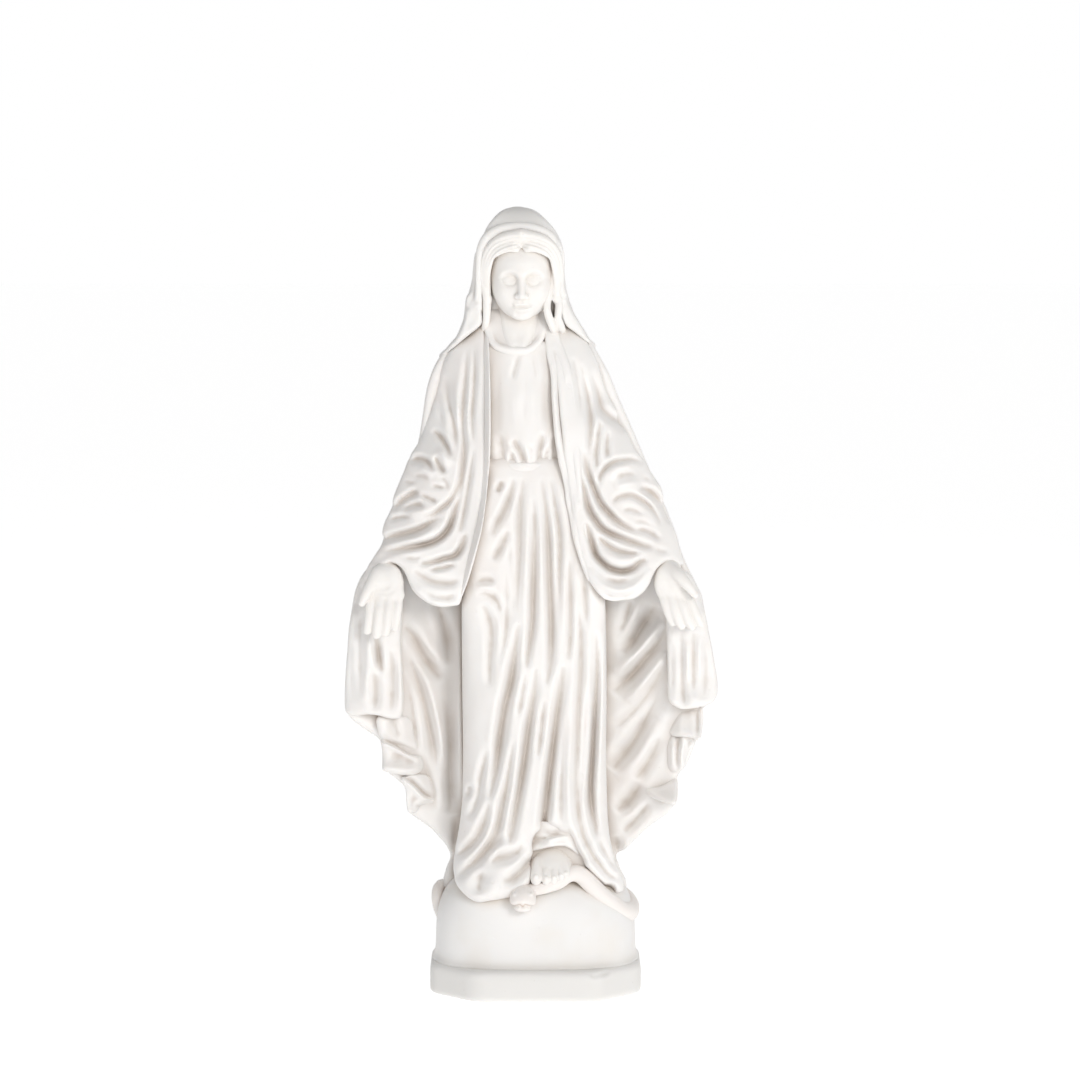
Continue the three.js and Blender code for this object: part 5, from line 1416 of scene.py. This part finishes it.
def make_hands():
    block = Block((-71, -31, 134), (-47, -9, 172), FINE)
    make_hand(
        "hand_left", block,
        [(-56.3, 167, -10, 4.2), (-56.8, 163.8, -16.5, 4.5), (-57.2, 160, -20, 4.6)],
        [((-57.3, 155.5, -21.6), (6.4, 3.2, 6.6), 0), ((-54.4, 157, -22.6), (3.2, 2.4, 5.6), 0),
         ((-60.6, 157.6, -23), (2.9, 2.6, 4.4), 0), ((-57, 151.6, -22.8), (6.6, 2.4, 2.6), 0)],
        [[(-62.4, 151.4, -22.6, 2.0), (-63.4, 146.2, -24.2, 1.9), (-64.1, 141.3, -24.4, 1.8),
          (-64.6, 138, -23.8, 1.6)],
         [(-59.3, 151, -23.2, 2.1), (-60.1, 145.4, -25, 2.0), (-60.7, 140, -25.3, 1.9),
          (-61.1, 136.4, -24.6, 1.65)],
         [(-56.0, 150.8, -23.2, 2.1), (-56.7, 145.2, -25, 2.0), (-57.2, 140.2, -25.2, 1.9),
          (-57.6, 137, -24.4, 1.6)],
         [(-52.8, 151, -22.6, 2.0), (-53.1, 146.4, -24, 1.85), (-53.6, 142.2, -24, 1.75),
          (-54, 139.2, -23.2, 1.5)]],
        [(-60.4, 160.6, -21.5, 2.4), (-62.7, 156.4, -24, 2.4), (-64.9, 152.4, -25.6, 2.05),
         (-66.6, 148.7, -26.2, 1.45)],
        [[(-67, 146.9, -27.5), (-64.2, 149.2, -27), (-61.5, 152.6, -26.4), (-56.8, 154.6, -25.4)],
         [(-62.2, 148.6, -26.4), (-58, 148.2, -27), (-52.6, 149.2, -26)],
         [(-53.2, 155, -25.6), (-56, 152.6, -25.8), (-60, 152.2, -26)]],
    )
    block = Block((42, -33, 134), (68, -9, 172), FINE)
    make_hand(
        "hand_right", block,
        [(51.8, 167, -10, 4.0), (51.4, 164, -16.5, 4.3), (51, 160.5, -20.5, 4.5)],
        [((51.4, 156.4, -21.6), (5.6, 3.0, 5.6), -20), ((48.3, 156.6, -22.6), (2.6, 2.3, 5.0), 0),
         ((54.4, 158.6, -23.6), (3.4, 2.4, 3.4), 0), ((53.4, 152.6, -22.8), (6.0, 2.3, 2.6), 0)],
        [[(48.9, 152.4, -22.4, 1.9), (50, 148.2, -24, 1.85), (51.3, 144.2, -24.2, 1.75),
          (52.6, 141.2, -23.4, 1.5)],
         [(51.8, 151.8, -23.2, 2.0), (53.2, 147, -24.9, 1.95), (54.6, 142.8, -25.1, 1.85),
          (56, 139.9, -24.2, 1.6)],
         [(55, 151.6, -23.4, 2.0), (56.8, 146.8, -25, 1.95), (58.5, 142.4, -25.2, 1.85),
          (60, 139.6, -24.4, 1.6)],
         [(58.2, 152, -23, 1.9), (60.1, 147.6, -24.4, 1.85), (61.9, 143.6, -24.6, 1.75),
          (63.2, 140.8, -23.8, 1.5)]],
        [(51.5, 162.4, -22, 2.3), (54.6, 159.6, -26, 2.35), (58, 155.9, -28, 2.0),
         (61, 152, -28.6, 1.45)],
        [[(48.6, 158.3, -25.5), (52, 156.2, -27), (55, 154.2, -28), (57.4, 151.6, -28.4),
          (61, 150.4, -28)],
         [(47.6, 153.6, -25.2), (50.6, 151.6, -26.2), (54, 150.6, -26.6), (58.4, 150, -26)]],
    )


# ---- plaster ---------------------------------------------------------------------------

ROUGH = 0.58
GROUND_SHADE_FADES = (0.0145, 0.0115)      # heights between which the painted shade near the ground comes in, in metres


def plaster(name, light, shade_colour, tint=None, tint_share=0.0, bump=1.0, lines=0.75, ground_shade=None):
    """Matt cast plaster: `light` where it stands out, the shade colour painted into the recesses
    as shade.

    `tint` is a faint stain in patches, `lines` how strongly painted shade darkens fold lines, and
    the ground shade colour is painted as shade near the ground.
    """
    material = bpy.data.materials.new(name)
    material.use_nodes = True
    tree = material.node_tree
    tree.nodes.clear()
    nodes, links = tree.nodes, tree.links

    def add(kind, **values):
        node = nodes.new(kind)
        for key, value in values.items():
            if key in node.inputs:
                node.inputs[key].default_value = value
            else:
                setattr(node, key, value)
        return node

    def noise(scale, detail):
        node = add("ShaderNodeTexNoise", Scale=scale, Detail=detail, Roughness=0.55)
        links.new(coordinates.outputs["Object"], node.inputs["Vector"])
        return node.outputs["Fac"]

    def between(value, low, high, out_low=0.0, out_high=1.0):
        node = add("ShaderNodeMapRange")
        node.inputs["From Min"].default_value = low
        node.inputs["From Max"].default_value = high
        node.inputs["To Min"].default_value = out_low
        node.inputs["To Max"].default_value = out_high
        links.new(value, node.inputs["Value"])
        return node.outputs["Result"]

    def maths(operation, a, b):
        node = add("ShaderNodeMath", operation=operation)
        for socket, value in zip(node.inputs, (a, b)):
            if isinstance(value, (int, float)):
                socket.default_value = value
            else:
                links.new(value, socket)
        return node.outputs["Value"]

    def blend(share, a, b):
        node = add("ShaderNodeMix", data_type="RGBA", blend_type="MIX")
        if isinstance(share, (int, float)):
            node.inputs[0].default_value = share
        else:
            links.new(share, node.inputs[0])
        for socket, value in zip((node.inputs[6], node.inputs[7]), (a, b)):
            if isinstance(value, tuple):
                socket.default_value = (*value, 1)
            else:
                links.new(value, socket)
        return node.outputs[2]

    coordinates = add("ShaderNodeTexCoord")
    recess = add("ShaderNodeAttribute", attribute_name="recess").outputs["Fac"]
    crease = add("ShaderNodeAttribute", attribute_name="crease").outputs["Fac"]

    cloudy = noise(18, 4)
    colour = blend(between(cloudy, 0.42, 0.66, 0, 0.5), light, tuple(c * 0.96 for c in light))
    if tint:
        stain = maths("MULTIPLY", between(noise(32, 3), 0.5, 0.68), tint_share)
        colour = blend(stain, colour, tint)
    # painted shade: darker towards the ground, blended in by height
    if ground_shade:
        axes = add("ShaderNodeSeparateXYZ")
        links.new(coordinates.outputs["Object"], axes.inputs[0])
        near_ground = between(axes.outputs["Z"], *GROUND_SHADE_FADES)
        colour = blend(near_ground, colour, ground_shade)
    # painted shade: the colour is pulled towards the shade colour in recesses and along fold
    # creases, more in some patches than others
    sunk = maths("MULTIPLY", between(recess, 0.5, 0.84), 0.9)
    pinch = maths("MULTIPLY", between(crease, 0.03, 0.4), lines)
    shade = maths("MAXIMUM", sunk, pinch)
    mottled = maths("MULTIPLY", shade, between(noise(70, 3), 0.3, 0.7, 0.8, 1.1))
    colour = blend(mottled, colour, shade_colour)
    # lighter on the fold ridges: partly wear, partly painted highlight
    wear_and_highlight = maths("MULTIPLY", between(crease, -0.05, -0.35), 0.4)
    colour = blend(wear_and_highlight, colour, tuple(min(1, c * 1.05) for c in light))
    speck = maths("MULTIPLY", between(noise(900, 2), 0.72, 0.8), 0.25)
    colour = blend(speck, colour, tuple(c * 0.8 for c in shade_colour))

    principled = add("ShaderNodeBsdfPrincipled")
    links.new(colour, principled.inputs["Base Color"])
    links.new(between(noise(140, 3), 0.3, 0.7, ROUGH - 0.06, ROUGH + 0.08),
              principled.inputs["Roughness"])
    principled.inputs["Subsurface Weight"].default_value = 0.12
    principled.inputs["Subsurface Radius"].default_value = (1.0, 0.85, 0.7)
    principled.inputs["Subsurface Scale"].default_value = 0.0015
    principled.inputs["IOR"].default_value = 1.48
    principled.inputs["Specular IOR Level"].default_value = 0.42

    pits = add("ShaderNodeTexVoronoi", feature="F1", Scale=210.0)
    links.new(coordinates.outputs["Object"], pits.inputs["Vector"])
    pit = maths("MULTIPLY", between(pits.outputs["Distance"], 0.05, 0.16, -1, 0),
                between(noise(60, 2), 0.56, 0.62))
    height = maths("ADD", maths("MULTIPLY", noise(160, 4), 0.5), maths("MULTIPLY", pit, 1.6))
    height = maths("ADD", height, maths("MULTIPLY", noise(1500, 2), 0.12))
    bumpy = add("ShaderNodeBump", Strength=0.22 * bump, Distance=0.0006)
    links.new(height, bumpy.inputs["Height"])
    links.new(bumpy.outputs["Normal"], principled.inputs["Normal"])
    out = add("ShaderNodeOutputMaterial")
    links.new(principled.outputs["BSDF"], out.inputs["Surface"])
    return material


WARM = (0.86, 0.84, 0.82)
# colour of the painted shade in recesses and creases
RECESS_SHADE = (0.54, 0.475, 0.42)
PINKISH = (0.76, 0.685, 0.645)
COOL = (0.85, 0.838, 0.825)

FINISHES = {
    "cast_plaster": plaster("cast plaster", WARM, RECESS_SHADE, tint=PINKISH, tint_share=0.22),
    # the veil's light colour is set darker than the cast plaster's: painted shade
    "veil_plaster": plaster("veil plaster", (0.82, 0.805, 0.785), RECESS_SHADE),
    # base plaster: its last colour is painted shade near the ground
    "base_plaster": plaster("base plaster", COOL, (0.66, 0.60, 0.53), tint=(0.76, 0.68, 0.58),
                            tint_share=0.25, ground_shade=(0.755, 0.742, 0.722)),
    "serpent_plaster": plaster("serpent plaster", (0.86, 0.82, 0.79), (0.58, 0.47, 0.39),
                               tint=(0.80, 0.69, 0.61), tint_share=0.4, lines=1.0),
    # the skin's light colour is set a little darker than the cast plaster's: painted shade for the
    # face
    "skin_plaster": plaster("skin plaster", (0.84, 0.817, 0.79), (0.73, 0.67, 0.61),
                            bump=0.6, lines=0.35),
}


def finish_pieces():
    for thing, _, _, slot in pieces:
        thing.data.materials.append(FINISHES[slot])


# ---- floor, light and camera -----------------------------------------------------------

def make_stage():
    bpy.ops.mesh.primitive_plane_add(size=1)
    floor = bpy.context.object
    floor.name = "floor"
    floor.scale = (12, 12, 1)
    floor.location = (0, 0.2, -0.0004)
    pale = bpy.data.materials.new("pale floor")
    pale.use_nodes = True
    shader = pale.node_tree.nodes["Principled BSDF"]
    shader.inputs["Base Color"].default_value = (0.88, 0.88, 0.88, 1)
    shader.inputs["Roughness"].default_value = 0.9
    shader.inputs["Emission Color"].default_value = (1, 1, 1, 1)
    shader.inputs["Emission Strength"].default_value = 0.56
    floor.data.materials.append(pale)


LAMPS_AIM = (0, 0, 0.16)


def lamp(name, spot, size, watts, colour=(1, 1, 1)):
    light = bpy.data.lights.new(name, "AREA")
    light.shape = "RECTANGLE"
    light.size, light.size_y = size
    light.energy = watts
    light.color = colour
    holder = bpy.data.objects.new(name, light)
    holder.location = spot
    bpy.context.scene.collection.objects.link(holder)
    look_along(holder, np.subtract(LAMPS_AIM, spot))


def look_along(holder, direction):
    turn = Vector([float(d) for d in direction]).to_track_quat("-Z", "Y")
    holder.rotation_euler = turn.to_euler()


def studio_world():
    """White before and behind, dimmer overhead and to the sides."""
    world = bpy.data.worlds.new("studio")
    world.use_nodes = True
    nodes, links = world.node_tree.nodes, world.node_tree.links
    split = nodes.new("ShaderNodeSeparateXYZ")
    links.new(nodes.new("ShaderNodeTexCoord").outputs["Generated"], split.inputs[0])

    def dimming(value, start, end, left):
        node = nodes.new("ShaderNodeMapRange")
        for label, number in (("From Min", start), ("From Max", end), ("To Min", 1.0),
                              ("To Max", left)):
            node.inputs[label].default_value = number
        links.new(value, node.inputs["Value"])
        return node.outputs["Result"]

    aside = nodes.new("ShaderNodeMath")
    aside.operation = "ABSOLUTE"
    links.new(split.outputs["X"], aside.inputs[0])
    strength = nodes.new("ShaderNodeMath")
    strength.operation = "MULTIPLY"
    links.new(dimming(split.outputs["Z"], 0.15, 0.9, 0.4), strength.inputs[0])
    links.new(dimming(aside.outputs[0], 0.3, 0.8, 0.5), strength.inputs[1])
    links.new(strength.outputs[0], nodes["Background"].inputs["Strength"])
    nodes["Background"].inputs["Color"].default_value = (1, 1, 1, 1)
    bpy.context.scene.world = world


def light_and_look():
    studio_world()
    lamp("key", (0.5, -1.1, 0.5), (0.3, 0.3), 4.8, (1.0, 0.99, 0.975))
    lamp("rim", (0.9, 0.9, 0.6), (0.4, 0.4), 1.2)

    camera = bpy.data.cameras.new("camera")
    camera.lens = LENS_MM
    camera.sensor_width = 36.0
    camera.clip_end = 20
    holder = bpy.data.objects.new("camera", camera)
    holder.location = (EYE_X * MM, EYE_Y * MM, EYE_Z * MM)
    bpy.context.scene.collection.objects.link(holder)
    look_along(holder, (LOOK_AT[0] - EYE_X, LOOK_AT[1] - EYE_Y, LOOK_AT[2] - EYE_Z))
    bpy.context.scene.camera = holder
    bpy.context.scene.view_settings.view_transform = "Standard"


make_plinth()
make_globe()
make_serpent()
make_skirt()
make_underskirt()
make_foot()
make_mantle()
make_mantle_edges()
make_front_left()
make_front_right()
make_sleeves()
make_bodice()
make_belt()
make_collar_and_neck()
make_head()
make_hair()
make_veil()
make_hands()
mark_recesses()
finish_pieces()
make_stage()
light_and_look()
